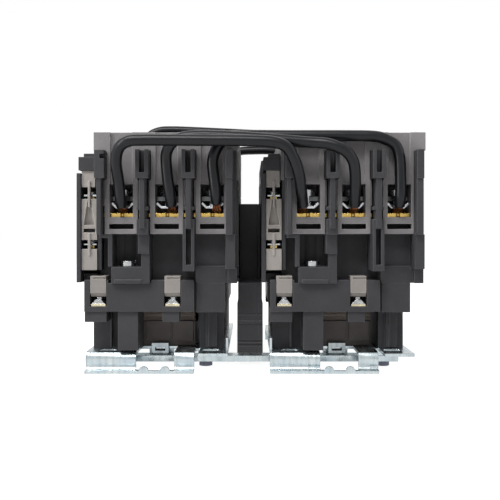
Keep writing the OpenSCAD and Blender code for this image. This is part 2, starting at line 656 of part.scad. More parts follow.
module fixed_contacts() {
    color(brass) both_ends() at_poles() difference() {
        union() {
            span([-bar_w / 2, bar_w / 2], [-bar_reach, -body_reach + 0.5], [seat_z, bar_top]);
            span([-6, 6], [-body_reach + 0.4, -14], [seat_z, bar_top]);
            span([-4, 4], [-tip_y[1], -tip_y[0]], [bar_top - 0.1, tip_top]);
        }
        rod([0, -bar_reach], 1.8, seat_z - 1, bar_top + 1);
        for (x = [-4.2, -3, 3, 4.2])
            span([x - 0.3, x + 0.3], [-bar_reach - 1, -bar_reach + 6], [bar_top - 0.3, bar_top + 1]);
    }
}

// Moving parts
module carrier() {
    color(black) difference() {
        union() {
            span([poles[0] - post_w / 2, poles[2] + post_w / 2], [-9, 9], [armature_top, carrier_top]);
            span([-5, 5], [-spring_y - 4.2, spring_y + 4.2], [armature_top, carrier_top]);
            at_poles() difference() {
                span([-post_w / 2, post_w / 2], [-post_t / 2, post_t / 2], [carrier_top - 0.1, post_top]);
                span([-bridge_w / 2 - fit, bridge_w / 2 + fit], [-post_t, post_t],
                    [bridge_bar_z, post_window_top]);
            }
            span([poles[1] - button_w / 2, poles[1] + button_w / 2], [-button_w / 2, button_w / 2],
                [post_top - 0.1, button_top]);
        }
        cross_rod(poles[2] + post_w / 2 - 5, poles[2] + post_w / 2 + 1, -drive_y, drive_z, drive_hole_d);
    }
}

module armature() {
    color(iron) {
        span([-core_w / 2, core_w / 2], [-core_t / 2, core_t / 2], [armature_yoke_z, armature_top]);
        legs(armature_z, armature_yoke_z + 0.1);
    }
}

module contact_bridges() {
    color(brass) at_poles() {
        span([-bridge_w / 2, bridge_w / 2], [-22, 22], [bridge_bar_z, bridge_bar_z + bridge_t]);
        both_ends() span([-4, 4], [-tip_y[1], -tip_y[0]], [bridge_z, bridge_bar_z + 0.1]);
    }
}

module coil_spring(d, wire, z0, z1, turns) {
    tube(coil_path((d - wire) / 2, z0 + wire / 2, z1 - wire / 2, turns, 8), wire, 6, [1, 0, 0], [[1, 1]]);
}

module contact_springs() {
    color(steel) at_poles() coil_spring(7, 1, bridge_bar_z + bridge_t, post_window_top, 4);
}

module return_springs() {
    color(steel) for (y = [-spring_y, spring_y]) translate([0, y, 0])
        coil_spring(7, 0.9, coil_top, armature_top, 5);
}

// Auxiliary block at the left side of each contactor
aux_x = [left_x + 2.2, aux_face_x];
aux_mid = (aux_x[0] + aux_x[1]) / 2;
aux_reach = cover_reach + 2;
aux_depth = body_reach - 8.5;
aux_z = base_top + 4;
aux_top = socket_z + 4.5;
aux_screw_y = aux_reach - 7;
strip_top = carrier_top - stroke - 0.1;
strip_z = strip_top - 1.8;
strip_half = 1.6;
strip_reach = aux_reach - 4.5;
upper_strip_z = seat_z + 8.8;
upper_strip_t = 1.2;
upper_block_z = strip_top + 2.5;
wire_slot_z = upper_block_z + 3.6;
cone_z = wire_slot_z + 3.5;

module aux_block() {
    arm_z = armature_top - stroke - 0.4;
    slit = [aux_mid - strip_half - fit, aux_mid + strip_half + fit];
    color(black) difference() {
        union() {
            span([left_x, aux_x[0] - fit], [-aux_reach, aux_reach], [base_top + 0.2, aux_top - 1.3]);
            span([left_x, aux_in_x], [-aux_depth, aux_depth], [aux_z, aux_top + 6.2]);
            span([left_x + 0.9, aux_in_x], [-aux_reach, aux_reach], [aux_top, aux_top + 6.4]);
            span([left_x + 3.2, aux_in_x], [-aux_reach + 1, aux_reach - 1], [aux_top + 6.3, aux_top + 8.1]);
            span([left_x, aux_in_x], [-body_reach, body_reach], [base_top, aux_z + 0.1]);
        }
        span([left_x + 1.6, aux_in_x - 1.2], [-aux_depth + 2, aux_depth - 2],
            [base_top + 8, upper_strip_z - 3]);
        span([aux_in_x - 2, aux_in_x + 1], [-4, 9.6], [arm_z, pit_z]);
        span([left_x - 1, left_x + 3], [drive_y - 2.2, drive_y + 2.2], [drive_low, drive_high]);
        both_ends() {
            span(slit, [-aux_depth - 1, -aux_depth + 3], [strip_z, strip_top + fit]);
            span(slit, [-aux_depth - 1, -aux_depth + 6],
                [upper_strip_z, upper_strip_z + upper_strip_t + fit]);
        }
        span([left_x - 1, left_x + 0.6], [-aux_depth + 6, aux_depth - 6], [aux_z + 2, aux_z + 2.8]);
        span([left_x - 1, left_x + 0.6], [-aux_depth + 6, aux_depth - 6], [upper_strip_z - 1, aux_top - 1]);
        for (y = [-40, 40]) span([left_x - 1, left_x + 1], [y - 3, y + 3], [base_top + 8, base_top + 16]);
    }
}

module aux_terminal() {
    face = [-aux_reach + 1, -aux_depth];
    difference() {
        union() {
            span([aux_x[0], aux_in_x - 0.1], face, [upper_strip_z + 5.6, aux_top]);
            span(aux_x, face, [upper_block_z, upper_strip_z]);
            span(aux_x, face, [base_top + 6, strip_z]);
            span([aux_mid - 0.6, aux_mid + 0.6], [face[0], face[0] + 1.4],
                [strip_z - 0.1, upper_strip_z + 5.7]);
        }
        translate([aux_mid, face[0], cone_z])
            cylinder(h = upper_strip_z - cone_z, d1 = 5.4, d2 = 1.2, $fn = 48);
        span([aux_x[0] + 0.9, aux_x[1] - 0.9], [face[0] - 1, face[0] + 6], [wire_slot_z, wire_slot_z + 1.8]);
        rod([aux_mid, -aux_screw_y], 3, strip_z - 4, strip_z + 1);
        rod([aux_mid, -aux_screw_y], 3, upper_strip_z - 4, upper_strip_z + 1);
        rod([aux_mid, -aux_screw_y], 3.6, upper_strip_z + 5, aux_top + 1);
    }
    for (z = [[strip_z - 3, upper_block_z + 3], [upper_strip_z - 4, upper_strip_z + 8.5]])
        span([aux_mid - 0.5, aux_mid + 0.5], [face[0] - 0.7, face[0] + 0.3], z);
}

module aux_terminals() {
    color(pale_taupe) both_places() both_ends() aux_terminal();
}

module aux_contacts() {
    half = [aux_mid - strip_half, aux_mid + strip_half];
    color(brass) both_places() both_ends() difference() {
        union() {
            span(half, [-strip_reach, -10.4], [strip_z, strip_top]);
            span(half, [-strip_reach, -aux_depth + 5.6], [upper_strip_z, upper_strip_z + upper_strip_t]);
        }
        rod([aux_mid, -aux_screw_y], 2.8, strip_z - 1, upper_strip_z + 3);
    }
}

module small_screw(p, z, w, reach) {
    difference() {
        union() {
            span([p[0] - w / 2, p[0] + w / 2], [p[1] - 4.2, p[1] + 4.2], [z, z + 0.8]);
            rod(p, w - 0.2, z + 0.7, z + 2.4);
            rod(p, 2.4, z - reach, z + 0.1);
        }
        span([p[0] - 4, p[0] + 4], [p[1] - 0.4, p[1] + 0.4], [z + 1.6, z + 4]);
    }
}

module aux_screws() {
    color(steel) both_places() both_ends() {
        small_screw([aux_mid, -aux_screw_y], strip_top, 6.2, 4.6);
        small_screw([aux_mid, -aux_screw_y], upper_strip_z + upper_strip_t, 6.2, 4.6);
    }
}

module aux_plunger() {
    color(black) difference() {
        span([arm_x, poles[0] - post_w / 2], [-3.5, 9], [armature_top, carrier_top]);
        cross_rod(arm_x - 1, arm_x + 4.6, drive_y, drive_z, drive_hole_d);
    }
}

module aux_bridge() {
    color(brass) span([aux_mid - 1.4, aux_mid + 1.4], [-14, 14], [carrier_top, carrier_top + 1]);
}

// Main terminals
strand_h = 0.55 * strand_d;
saddle_z = bar_top + strand_h + 0.95;

module terminal_clamps() {
    line = [[-5.1, saddle_z + 2], [-2.9, saddle_z], [2.9, saddle_z], [5.1, saddle_z + 2]];
    color(steel) both_places() both_ends() at_poles() {
        translate([0, -body_reach - 0.1, 0]) rotate([90, 0, 0])
            linear_extrude(height = 8.3) polygon(sheet_outline(line, 1.2));
        difference() {
            span([-5.3, 5.3], [-screw_y - 2.4, -screw_y + 3.6], [saddle_z + 3, saddle_z + 5.2]);
            rod([0, -screw_y], screw_d + 2 * fit, saddle_z + 2, saddle_z + 6);
        }
    }
}

module terminal_screws() {
    color(steel) both_places() both_ends() at_poles() difference() {
        union() {
            rod([0, -screw_y], screw_d, saddle_z + 0.6, saddle_z + 5.5);
            rod([0, -screw_y], screw_head_d, saddle_z + 5.4, saddle_z + 8.4);
        }
        span([-6, 6], [-screw_y - 0.7, -screw_y + 0.7], [saddle_z + 7.2, saddle_z + 9]);
    }
}

module coil_hood() {
    low = post_seat + 4.6;
    top = base_top + 3.4;
    difference() {
        translate([-post_half, 0, 0]) rotate([90, 0, 90]) linear_extrude(height = 2 * post_half)
            polygon([[-4, low + 2], [-2.6, low], [4, low], [4, top], [-4, top]]);
        rod([0, 0], 4.6, low - 1, top + 1);
        span([-post_half + 1.3, post_half + 1], [-5, -3.3], [top - 1.3, top - 0.7]);
    }
}

module coil_terminals() {
    color(pale_taupe) both_places() for (p = coil_posts)
        translate([p[0], p[1] * post_y, 0]) rotate([0, 0, p[1] < 0 ? 0 : 180]) coil_hood();
}

module coil_terminal_screws() {
    color(steel) both_places() for (p = coil_posts) translate([p[0], p[1] * post_y, post_seat]) difference() {
        union() {
            span([-3.4, 3.4], [-3.6, 3.6], [0, 1.2]);
            translate([0, 3.4, 0]) rotate([90, 0, 0]) linear_extrude(height = 6.8)
                polygon([[-3.1, 1.1], [3.1, 1.1], [1.3, 3.2], [-1.3, 3.2]]);
            rod([0, 0], 4, 3.1, 4.4);
        }
        span([-4, 4], [-0.4, 0.4], [3.6, 5]);
    }
}

module housing_screws() {
    x = shelf_screw[0];
    y = shelf_screw[1];
    color(steel) both_places() both_ends() difference() {
        union() {
            rod(shelf_screw, 7.4, shelf_z, shelf_z + 2.6);
            rod(shelf_screw, 4, rim_z + 5, shelf_z + 0.1);
        }
        span([x - 4.5, x + 4.5], [y - 0.5, y + 0.5], [shelf_z + 1.6, shelf_z + 3]);
    }
}

// Link bar under the two plates
module link_bar() {
    color(zinc) difference() {
        span([-link_len / 2, link_len / 2], link_y, [link_z, link_top]);
        both_places() for (x = tab_xs) rod([x, link_screw_y], 4.3, link_z - 1, link_top + 1);
    }
}

module link_screws() {
    color(steel) both_places() for (x = tab_xs) {
        rod([x, link_screw_y], 4, link_z - 0.1, link_top + sheet_t);
        rod([x, link_screw_y], 6.6, link_z - 2.4, link_z);
    }
}

// Interlock between the contactors
module lock_shape(x0, x1, low, mid) {
    shin = lock_knee - 9.7;
    span([x0, x1], [-lock_y[1], lock_y[1]], [lock_knee, lock_top]);
    span([min(x0, low), max(x1, low)], lock_y, [lock_z, shin]);
    span([min(x0, mid), max(x1, mid)], lock_y, [shin - 0.1, lock_knee + 0.1]);
    span([min(x0, low), max(x1, low)], [lock_y[0] - 0.7, lock_y[0] + 0.1], [lock_z + 14.3, lock_z + 15.7]);
}

module lock_slot(s) {
    x0 = s < 0 ? -lock_x - 2 : lock_in - 0.1;
    x1 = s < 0 ? -lock_in + 0.1 : lock_x + 2;
    span([x0, x1], [s * drive_y - 2.2, s * drive_y + 2.2], [drive_low, drive_high]);
}

module lock_grooves() {
    for (z = [lock_z + 3.5, lock_z + 5.3]) span([-9, 9], [lock_y[0] - 1, lock_y[0] + 0.7], [z, z + 0.8]);
    span([-9, 9], [lock_y[0] - 1, lock_y[0] + 0.4], [lock_z + 18.5, lock_z + 19.1]);
}

module interlock_body() {
    color(black) difference() {
        lock_shape(-lock_x, lock_in, -lock_low_x, -lock_low_x + 0.4);
        span([-lock_in, lock_in + 1], [-lock_y[1] + 1.6, lock_y[1] - 1.6], [rocker_z - 6, lock_top - 1.6]);
        lock_slot(-1);
        lock_grooves();
        cross_rod(-lock_low_x - 1, 0, 0, rocker_z, axle_d + 2 * run);
    }
}

module interlock_cover() {
    color(black) difference() {
        lock_shape(lock_in, lock_x, lock_low_x, lock_low_x - 0.4);
        lock_slot(1);
        lock_grooves();
        cross_rod(0, lock_low_x + 1, 0, rocker_z, axle_d + 2 * run);
    }
}

module interlock_left_slider() {
    color(brown) {
        span([-slider_half, slider_half], [-12.5, -1], [slider_z, slider_z + 20]);
        cross_rod(-contactor_pitch / 2 + poles[2] + post_w / 2 - 4.6, -slider_half + 0.1,
            -drive_y, drive_z, pin_d);
    }
}

module interlock_right_slider() {
    color(brown) {
        span([-slider_half, slider_half], [1, 12.5], [slider_z, slider_z + 20]);
        cross_rod(slider_half - 0.1, contactor_pitch / 2 + arm_x + 4.2, drive_y, drive_z, pin_d);
    }
}

module interlock_rocker() {
    color(brown) {
        span([-3, 3], [-rocker_half, rocker_half], [rocker_z - rocker_t / 2, rocker_z + rocker_t / 2]);
        cross_rod(-lock_low_x + 0.6, lock_low_x - 0.6, 0, rocker_z, axle_d);
    }
}

// Jumper wires and their stripped ends
module jumper(route) {
    color(black) tube(smooth(route, 3), wire_d, 8, [1, 0, 0], [[1, 1]]);
}

module bare_end(p, s) {
    way = unit(p[0] - p[1]);
    strand_z = bar_top + strand_h / 2 + 0.06;
    flat = [1.4, strand_h / strand_d];
    shape = [[1, 1], [1, 1], [1, 1], [1.05, 0.95], [1.2, 0.8], [1.35, 0.6], flat];
    x = p[0][0];
    y = cage_reach;
    line = [p[0] + 0.6 * way, [x, s * (y - 1.2), strand_z + 0.5], [x, s * (y - 3), strand_z],
        [x, s * (body_reach + 0.9), strand_z]];
    tube(concat([p[0] + 0.03 * way, p[0] + 0.3 * way], smooth(line, 2)), strand_d, 8, [1, 0, 0], shape);
}

module bare_conductors() {
    color(copper) {
        for (r = [near_route_1, near_route_2, near_route_3]) {
            p = smooth(r, 3);
            n = len(p);
            bare_end([p[0], p[1]], -1);
            bare_end([p[n - 1], p[n - 2]], -1);
        }
        for (r = [far_route_1, far_route_2, far_route_3]) {
            p = smooth(r, 3);
            n = len(p);
            bare_end([p[0], p[1]], 1);
            bare_end([p[n - 1], p[n - 2]], 1);
        }
    }
}

left_place() mount_plate([tab_x[1] - 1.2, tab_x[1]]);  // left_mount_plate
left_place() rail_latch();  // left_rail_latch
left_place() base_housing();  // left_base_housing
left_place() fixed_core();  // left_fixed_core
left_place() coil_bobbin();  // left_coil_bobbin
left_place() coil_winding();  // left_coil_winding
left_place() contact_housing();  // left_contact_housing
left_place() arc_cover();  // left_arc_cover
left_place() front_plate();  // left_front_plate
left_place() fixed_contacts();  // left_fixed_contacts
left_place() carrier();  // left_carrier
left_place() armature();  // left_armature
left_place() contact_bridges();  // left_contact_bridges
left_place() contact_springs();  // left_contact_springs
left_place() return_springs();  // left_return_springs
left_place() aux_block();  // left_aux_block
left_place() aux_plunger();  // left_aux_plunger
left_place() aux_bridge();  // left_aux_bridge
right_place() mount_plate([foot_x[0], foot_x[0] + 1.2]);  // right_mount_plate
right_place() rail_latch();  // right_rail_latch
right_place() base_housing();  // right_base_housing
right_place() fixed_core();  // right_fixed_core
right_place() coil_bobbin();  // right_coil_bobbin
right_place() coil_winding();  // right_coil_winding
right_place() contact_housing();  // right_contact_housing
right_place() arc_cover();  // right_arc_cover
right_place() front_plate();  // right_front_plate
right_place() fixed_contacts();  // right_fixed_contacts
right_place() carrier();  // right_carrier
right_place() armature();  // right_armature
right_place() contact_bridges();  // right_contact_bridges
right_place() contact_springs();  // right_contact_springs
right_place() return_springs();  // right_return_springs
right_place() aux_block();  // right_aux_block
right_place() aux_plunger();  // right_aux_plunger
right_place() aux_bridge();  // right_aux_bridge
terminal_clamps();
terminal_screws();
aux_terminals();
aux_contacts();
aux_screws();
coil_terminals();
coil_terminal_screws();
housing_screws();
link_bar();
link_screws();
interlock_body();
interlock_cover();
interlock_left_slider();
interlock_right_slider();
interlock_rocker();
jumper(near_route_1);  // near_jumper_1
jumper(near_route_2);  // near_jumper_2
jumper(near_route_3);  // near_jumper_3
jumper(far_route_1);  // far_jumper_1
jumper(far_route_2);  // far_jumper_2
jumper(far_route_3);  // far_jumper_3
bare_conductors();
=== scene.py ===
import json
import math
import random

import bpy
from bpy.props import FloatProperty, FloatVectorProperty, IntProperty, PointerProperty
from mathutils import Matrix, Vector

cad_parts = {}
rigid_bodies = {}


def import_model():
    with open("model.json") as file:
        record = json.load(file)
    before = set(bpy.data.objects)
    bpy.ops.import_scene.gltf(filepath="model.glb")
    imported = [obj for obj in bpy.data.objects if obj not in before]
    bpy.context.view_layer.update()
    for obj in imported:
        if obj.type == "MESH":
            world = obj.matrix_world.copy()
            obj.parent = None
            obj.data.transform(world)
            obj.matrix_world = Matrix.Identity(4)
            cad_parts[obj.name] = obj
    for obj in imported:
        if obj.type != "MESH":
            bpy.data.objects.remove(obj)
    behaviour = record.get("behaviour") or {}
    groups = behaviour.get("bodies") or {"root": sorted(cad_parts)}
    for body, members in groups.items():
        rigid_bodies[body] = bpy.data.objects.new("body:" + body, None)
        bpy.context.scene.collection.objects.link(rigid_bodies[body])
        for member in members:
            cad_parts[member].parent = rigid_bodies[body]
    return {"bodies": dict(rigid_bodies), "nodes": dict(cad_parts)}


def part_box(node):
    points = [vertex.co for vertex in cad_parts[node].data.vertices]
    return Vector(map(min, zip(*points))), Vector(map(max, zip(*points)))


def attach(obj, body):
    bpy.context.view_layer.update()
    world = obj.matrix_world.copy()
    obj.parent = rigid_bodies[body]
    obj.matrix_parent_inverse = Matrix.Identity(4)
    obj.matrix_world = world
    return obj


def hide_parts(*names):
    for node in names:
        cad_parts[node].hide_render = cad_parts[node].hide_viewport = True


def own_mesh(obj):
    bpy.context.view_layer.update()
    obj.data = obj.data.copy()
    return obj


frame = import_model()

bl_info = {
    "name": "Interlocked contactor pair",
    "version": (1, 0, 0),
    "blender": (4, 5, 0),
    "location": "3D View > Sidebar > Contactor Pair",
    "description": "Finishes, jumper wires and studio for two interlocked three-pole contactors",
    "category": "Add Mesh",
}

# Blender's own start objects go, so that only the frame is left
FRAME_OBJECTS = {o.name for o in list(frame["nodes"].values()) + list(frame["bodies"].values())}
for stray in [o for o in bpy.data.objects if o.name not in FRAME_OBJECTS]:
    bpy.data.objects.remove(stray, do_unlink=True)
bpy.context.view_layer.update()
MM = 0.001
SIDES = ("left", "right")

# Shades of a finish beside the colour that it is taken from
HOOD_SHADE = 0.82
INTERLOCK_SHADE = 0.7
LATCH_SHADE = 0.68
CUT_EDGE_SHADE = 0.7
# The terminal clamp steel is drawn 1.3 times paler below the nut plate height. Above it the steel carries
# painted shade at a quarter of its brightness.
CLAMP_SHADE = 1.3
NUT_PLATE_PAINTED_SHADE = 0.25

# Finishes of the small screws and washers, as linear values
WASHER_CREAM = (0.52, 0.47, 0.33)
BLACK_ZINC = (0.085, 0.090, 0.115)

# How far the plastics mirror, from the rounded edge to the grained face
FACE_SPECULAR = 0.15
EDGE_SPECULAR = 0.18
WIRE_SPECULAR = 0.25
TAPE_SPECULAR = 0.35


# Sizes and colours

class PairColours(bpy.types.PropertyGroup):
    """Colours of the finishes, as linear values."""

    black_moulding: FloatVectorProperty(
        name="Black moulding", description="Housing and base mouldings", subtype="COLOR",
        size=3, min=0.0, max=1.0, default=(0.037, 0.037, 0.040))
    grey_cover: FloatVectorProperty(
        name="Grey cover", description="Arc covers with their terminal cages", subtype="COLOR",
        size=3, min=0.0, max=1.0, default=(0.180, 0.172, 0.174))
    pale_moulding: FloatVectorProperty(
        name="Pale moulding", description="Auxiliary terminals and coil terminal hoods", subtype="COLOR",
        size=3, min=0.0, max=1.0, default=(0.262, 0.243, 0.226))
    brown_bobbin: FloatVectorProperty(
        name="Brown bobbin", description="Coil bobbin and interlock levers", subtype="COLOR",
        size=3, min=0.0, max=1.0, default=(0.092, 0.080, 0.075))
    wire_black: FloatVectorProperty(
        name="Wire insulation", description="Insulation of the jumper wires", subtype="COLOR",
        size=3, min=0.0, max=1.0, default=(0.0030, 0.0034, 0.0046))
    zinc: FloatVectorProperty(
        name="Zinc plating", description="Mounting plates, latches and link bar", subtype="COLOR",
        size=3, min=0.0, max=1.0, default=(0.455, 0.498, 0.508))
    steel: FloatVectorProperty(
        name="Bright steel", description="Screws, clamps and springs", subtype="COLOR",
        size=3, min=0.0, max=1.0, default=(0.40, 0.41, 0.42))
    brass: FloatVectorProperty(
        name="Brass", description="Terminal bars and contact bridges", subtype="COLOR",
        size=3, min=0.0, max=1.0, default=(0.56, 0.385, 0.115))
    copper: FloatVectorProperty(
        name="Copper", description="Bare strands", subtype="COLOR",
        size=3, min=0.0, max=1.0, default=(0.30, 0.115, 0.05))
    winding_tape: FloatVectorProperty(
        name="Winding tape", description="Tape wrapped round the coil winding", subtype="COLOR",
        size=3, min=0.0, max=1.0, default=(0.165, 0.135, 0.116))
    core_iron: FloatVectorProperty(
        name="Core iron", description="Laminated magnet core and armature", subtype="COLOR",
        size=3, min=0.0, max=1.0, default=(0.20, 0.20, 0.21))
    floor: FloatVectorProperty(
        name="Floor", description="Plain pale floor", subtype="COLOR",
        size=3, min=0.0, max=1.0, default=(0.82, 0.82, 0.82))


class PairSizes(bpy.types.PropertyGroup):
    """Edge radii and the sizes of the wires."""

    moulding_edge: FloatProperty(
        name="Moulding edge", description="Rounding of the moulded edges", subtype="DISTANCE",
        unit="LENGTH", min=0.0, default=0.22 * MM)
    metal_edge: FloatProperty(
        name="Metal edge", description="Rounding of cut sheet and turned edges", subtype="DISTANCE",
        unit="LENGTH", min=0.0, default=0.14 * MM)
    wire_d: FloatProperty(
        name="Wire diameter", description="Outer diameter of a jumper wire", subtype="DISTANCE",
        unit="LENGTH", min=0.001, default=5.25 * MM)
    strand_bundle_d: FloatProperty(
        name="Bare bundle diameter", description="Diameter of the stripped bundle", subtype="DISTANCE",
        unit="LENGTH", min=0.001, default=3.2 * MM)
    wire_sides: IntProperty(
        name="Wire sides", description="Faces round a jumper wire", min=8, default=28)
    wire_steps: IntProperty(
        name="Wire steps", description="Rings between two points of a route", min=2, default=8)


class PairStudio(bpy.types.PropertyGroup):
    """Camera and light of the studio."""

    camera_distance: FloatProperty(
        name="Camera distance", description="Camera in front of the middle of the pair",
        subtype="DISTANCE", unit="LENGTH", min=0.1, default=386 * MM)
    camera_height: FloatProperty(
        name="Camera height", description="Camera above the floor", subtype="DISTANCE",
        unit="LENGTH", min=0.0, default=67.2 * MM)
    lens: FloatProperty(
        name="Lens", description="Focal length in millimetres on a 36 mm frame", min=10.0, default=50.6)
    lens_shift: FloatProperty(
        name="Lens shift", description="Vertical shift that frames the pair", default=-0.036)
    key_power: FloatProperty(
        name="Key light", description="Power of the large light above the camera", unit="POWER",
        min=0.0, default=15.0)
    left_power: FloatProperty(
        name="Left light", description="Power of the light at the left", unit="POWER", min=0.0, default=6.0)
    fill_power: FloatProperty(
        name="Fill lights", description="Power of the lights at the right and behind", unit="POWER",
        min=0.0, default=1.2)
    room_light: FloatProperty(
        name="Room light", description="Strength of the even light of the room", min=0.0, default=0.22)


class PairSettings(bpy.types.PropertyGroup):
    """All settings of the contactor pair."""

    colours: PointerProperty(type=PairColours)
    sizes: PointerProperty(type=PairSizes)
    studio: PointerProperty(type=PairStudio)


def settings():
    return bpy.context.scene.contactor_pair


# Finishes

class Finish:
    """A node material that starts from one shader and takes its tone, gloss and grain from noise."""

    def __init__(self, name, metallic=0.0, specular=0.5):
        self.material = bpy.data.materials.new(name)
        self.material.use_nodes = True
        self.tree = self.material.node_tree
        self.shader = self.tree.nodes["Principled BSDF"]
        self.shader.inputs["Metallic"].default_value = metallic
        self.shader.inputs["Specular IOR Level"].default_value = specular
        self.where = self.tree.nodes.new("ShaderNodeTexCoord")
        self.last_bump = None

    def node(self, kind, **inputs):
        made = self.tree.nodes.new(kind)
        for name, value in inputs.items():
            made.inputs[name.replace("_", " ")].default_value = value
        return made

    def link(self, source, target):
        self.tree.links.new(source, target)

    def spot(self, stretch, by_uv=False):
        source = self.where.outputs["UV" if by_uv else "Object"]
        mapping = self.node("ShaderNodeMapping")
        mapping.inputs["Scale"].default_value = stretch
        self.link(source, mapping.inputs["Vector"])
        return mapping.outputs["Vector"]

    def noise(self, scale, detail=3.0, stretch=(1.0, 1.0, 1.0), by_uv=False):
        made = self.node("ShaderNodeTexNoise", Scale=scale, Detail=detail)
        self.link(self.spot(stretch, by_uv), made.inputs["Vector"])
        return made.outputs["Fac"]

    def bands(self, scale, axis, distortion=0.4):
        made = self.node("ShaderNodeTexWave", Scale=scale, Distortion=distortion, Detail=2.0)
        made.wave_type = "BANDS"
        made.bands_direction = axis
        self.link(self.spot((1.0, 1.0, 1.0)), made.inputs["Vector"])
        return made.outputs["Fac"]

    def above(self, height):
        """One above a height of the frame and nought below it."""
        soft = 0.2 * MM
        split = self.node("ShaderNodeSeparateXYZ")
        self.link(self.where.outputs["Object"], split.inputs["Vector"])
        return self.spread(split.outputs["Z"], 0.0, 1.0, height - soft, height + soft)

    def spread(self, source, low, high, start=0.3, stop=0.7):
        """The source between start and stop, drawn out to run from low to high."""
        made = self.node("ShaderNodeMapRange")
        made.inputs["From Min"].default_value = start
        made.inputs["From Max"].default_value = stop
        made.inputs["To Min"].default_value = low
        made.inputs["To Max"].default_value = high
        self.link(source, made.inputs["Value"])
        return made.outputs["Result"]

    def ramp(self, source, stops):
        """A change from one colour to another between two places of the source."""
        made = self.tree.nodes.new("ShaderNodeValToRGB")
        for point, (place, colour) in zip(made.color_ramp.elements, stops):
            point.position = place
            point.color = (*colour, 1.0)
        self.link(source, made.inputs["Fac"])
        return made.outputs["Color"]

    def blend_colours(self, amount, first, second):
        made = self.tree.nodes.new("ShaderNodeMix")
        made.data_type = "RGBA"
        sockets = [s for s in made.inputs if s.type == "RGBA"]
        self.link(amount, made.inputs["Factor"])
        for value, socket in zip((first, second), sockets):
            if isinstance(value, bpy.types.NodeSocket):
                self.link(value, socket)
            else:
                socket.default_value = (*value, 1.0)
        return [s for s in made.outputs if s.type == "RGBA"][0]

    def tone(self, colour, spread, scale):
        """A colour that wanders a little darker and lighter."""
        dark = tuple(c * (1.0 - spread) for c in colour)
        light = tuple(min(1.0, c * (1.0 + spread)) for c in colour)
        return self.ramp(self.noise(scale, 4.0), [(0.34, dark), (0.66, light)])

    def colour(self, source):
        self.link(source, self.shader.inputs["Base Color"])

    def roughness(self, source):
        self.link(source, self.shader.inputs["Roughness"])

    def bump(self, source, strength, depth):
        """Adds a relief on top of those before it."""
        made = self.node("ShaderNodeBump", Strength=strength, Distance=depth)
        self.link(source, made.inputs["Height"])
        if self.last_bump is not None:
            self.link(self.last_bump, made.inputs["Normal"])
        self.last_bump = made.outputs["Normal"]
        self.link(self.last_bump, self.shader.inputs["Normal"])


def moulded(name, colour, gloss=(0.42, 0.58), grain=0.14):
    """Fine spark-eroded plastic with slow changes of tone and a faint dusty bloom."""
    made = Finish(name, specular=FACE_SPECULAR)
    broad = made.tone(colour, 0.10, 60.0)
    pale = tuple(min(1.0, c * 1.22 + 0.004) for c in colour)
    dust = made.spread(made.noise(950.0, 2.0), 0.0, 0.5, 0.52, 0.78)
    made.colour(made.blend_colours(dust, broad, pale))
    made.roughness(made.spread(made.noise(260.0, 4.0), gloss[0], gloss[1]))
    made.bump(made.noise(75.0, 2.0), 0.05, 0.3 * MM)
    made.bump(made.noise(3400.0, 2.0), grain, 0.05 * MM)
    return made.material


def edge_highlight(name, colour):
    """The same plastic on the rounded edges, a little smoother, with a painted highlight that makes it paler.
    """
    made = Finish(name, specular=EDGE_SPECULAR)
    # Painted highlight: the rounded edges are drawn paler than the faces.
    highlighted = tuple(min(1.0, c * 1.35 + 0.006) for c in colour)
    made.colour(made.tone(highlighted, 0.16, 420.0))
    made.roughness(made.spread(made.noise(500.0, 3.0), 0.36, 0.5))
    made.bump(made.noise(2600.0, 2.0), 0.1, 0.04 * MM)
    return made.material


def zinc_finish(name, colour):
    """Bright passivated zinc with streaks across the bends and soft dull patches."""
    made = Finish(name, metallic=1.0)
    dull = tuple(c * 0.66 for c in colour)
    cool = (colour[0] * 0.84, colour[1] * 0.90, colour[2] * 0.95)
    streaks = made.noise(620.0, 3.0, (1.0, 0.06, 0.06))
    patches = made.noise(130.0, 3.0)
    base = made.ramp(patches, [(0.35, cool), (0.62, colour)])
    made.colour(made.blend_colours(made.spread(streaks, 0.0, 0.7, 0.48, 0.72), base, dull))
    made.roughness(made.spread(made.noise(420.0, 4.0, (1.0, 0.12, 0.12)), 0.20, 0.40))
    made.bump(streaks, 0.10, 0.05 * MM)
    made.bump(made.noise(1500.0, 2.0), 0.06, 0.03 * MM)
    return made.material


def turned_metal(name, colour, gloss=(0.16, 0.34), tarnish=0.25, scale=900.0):
    """Machined metal with small scratches and patches of tarnish."""
    made = Finish(name, metallic=1.0)
    dark = tuple(c * (1.0 - tarnish) for c in colour)
    spots = made.spread(made.noise(scale * 0.4, 5.0), 0.0, 0.9, 0.5, 0.72)
    made.colour(made.blend_colours(spots, colour, dark))
    made.roughness(made.spread(made.noise(scale, 4.0, (1.0, 0.3, 1.0)), gloss[0], gloss[1]))
    made.bump(made.noise(scale * 1.6, 3.0, (0.25, 1.0, 1.0)), 0.10, 0.03 * MM)
    return made.material


def two_metals(name, low_colour, high_colour, height):
    """Stamped metal of one colour below a height and another above it, with scratches."""
    made = Finish(name, metallic=1.0)
    patches = made.noise(420.0, 4.0)
    low = made.ramp(patches, [(0.35, tuple(c * 0.75 for c in low_colour)), (0.6, low_colour)])
    high = made.ramp(patches, [(0.35, tuple(c * 0.7 for c in high_colour)), (0.6, high_colour)])
    made.colour(made.blend_colours(made.above(height), low, high))
    made.roughness(made.spread(made.noise(900.0, 4.0), 0.18, 0.36))
    made.bump(made.noise(1500.0, 3.0, (0.25, 1.0, 1.0)), 0.10, 0.03 * MM)
    return made.material


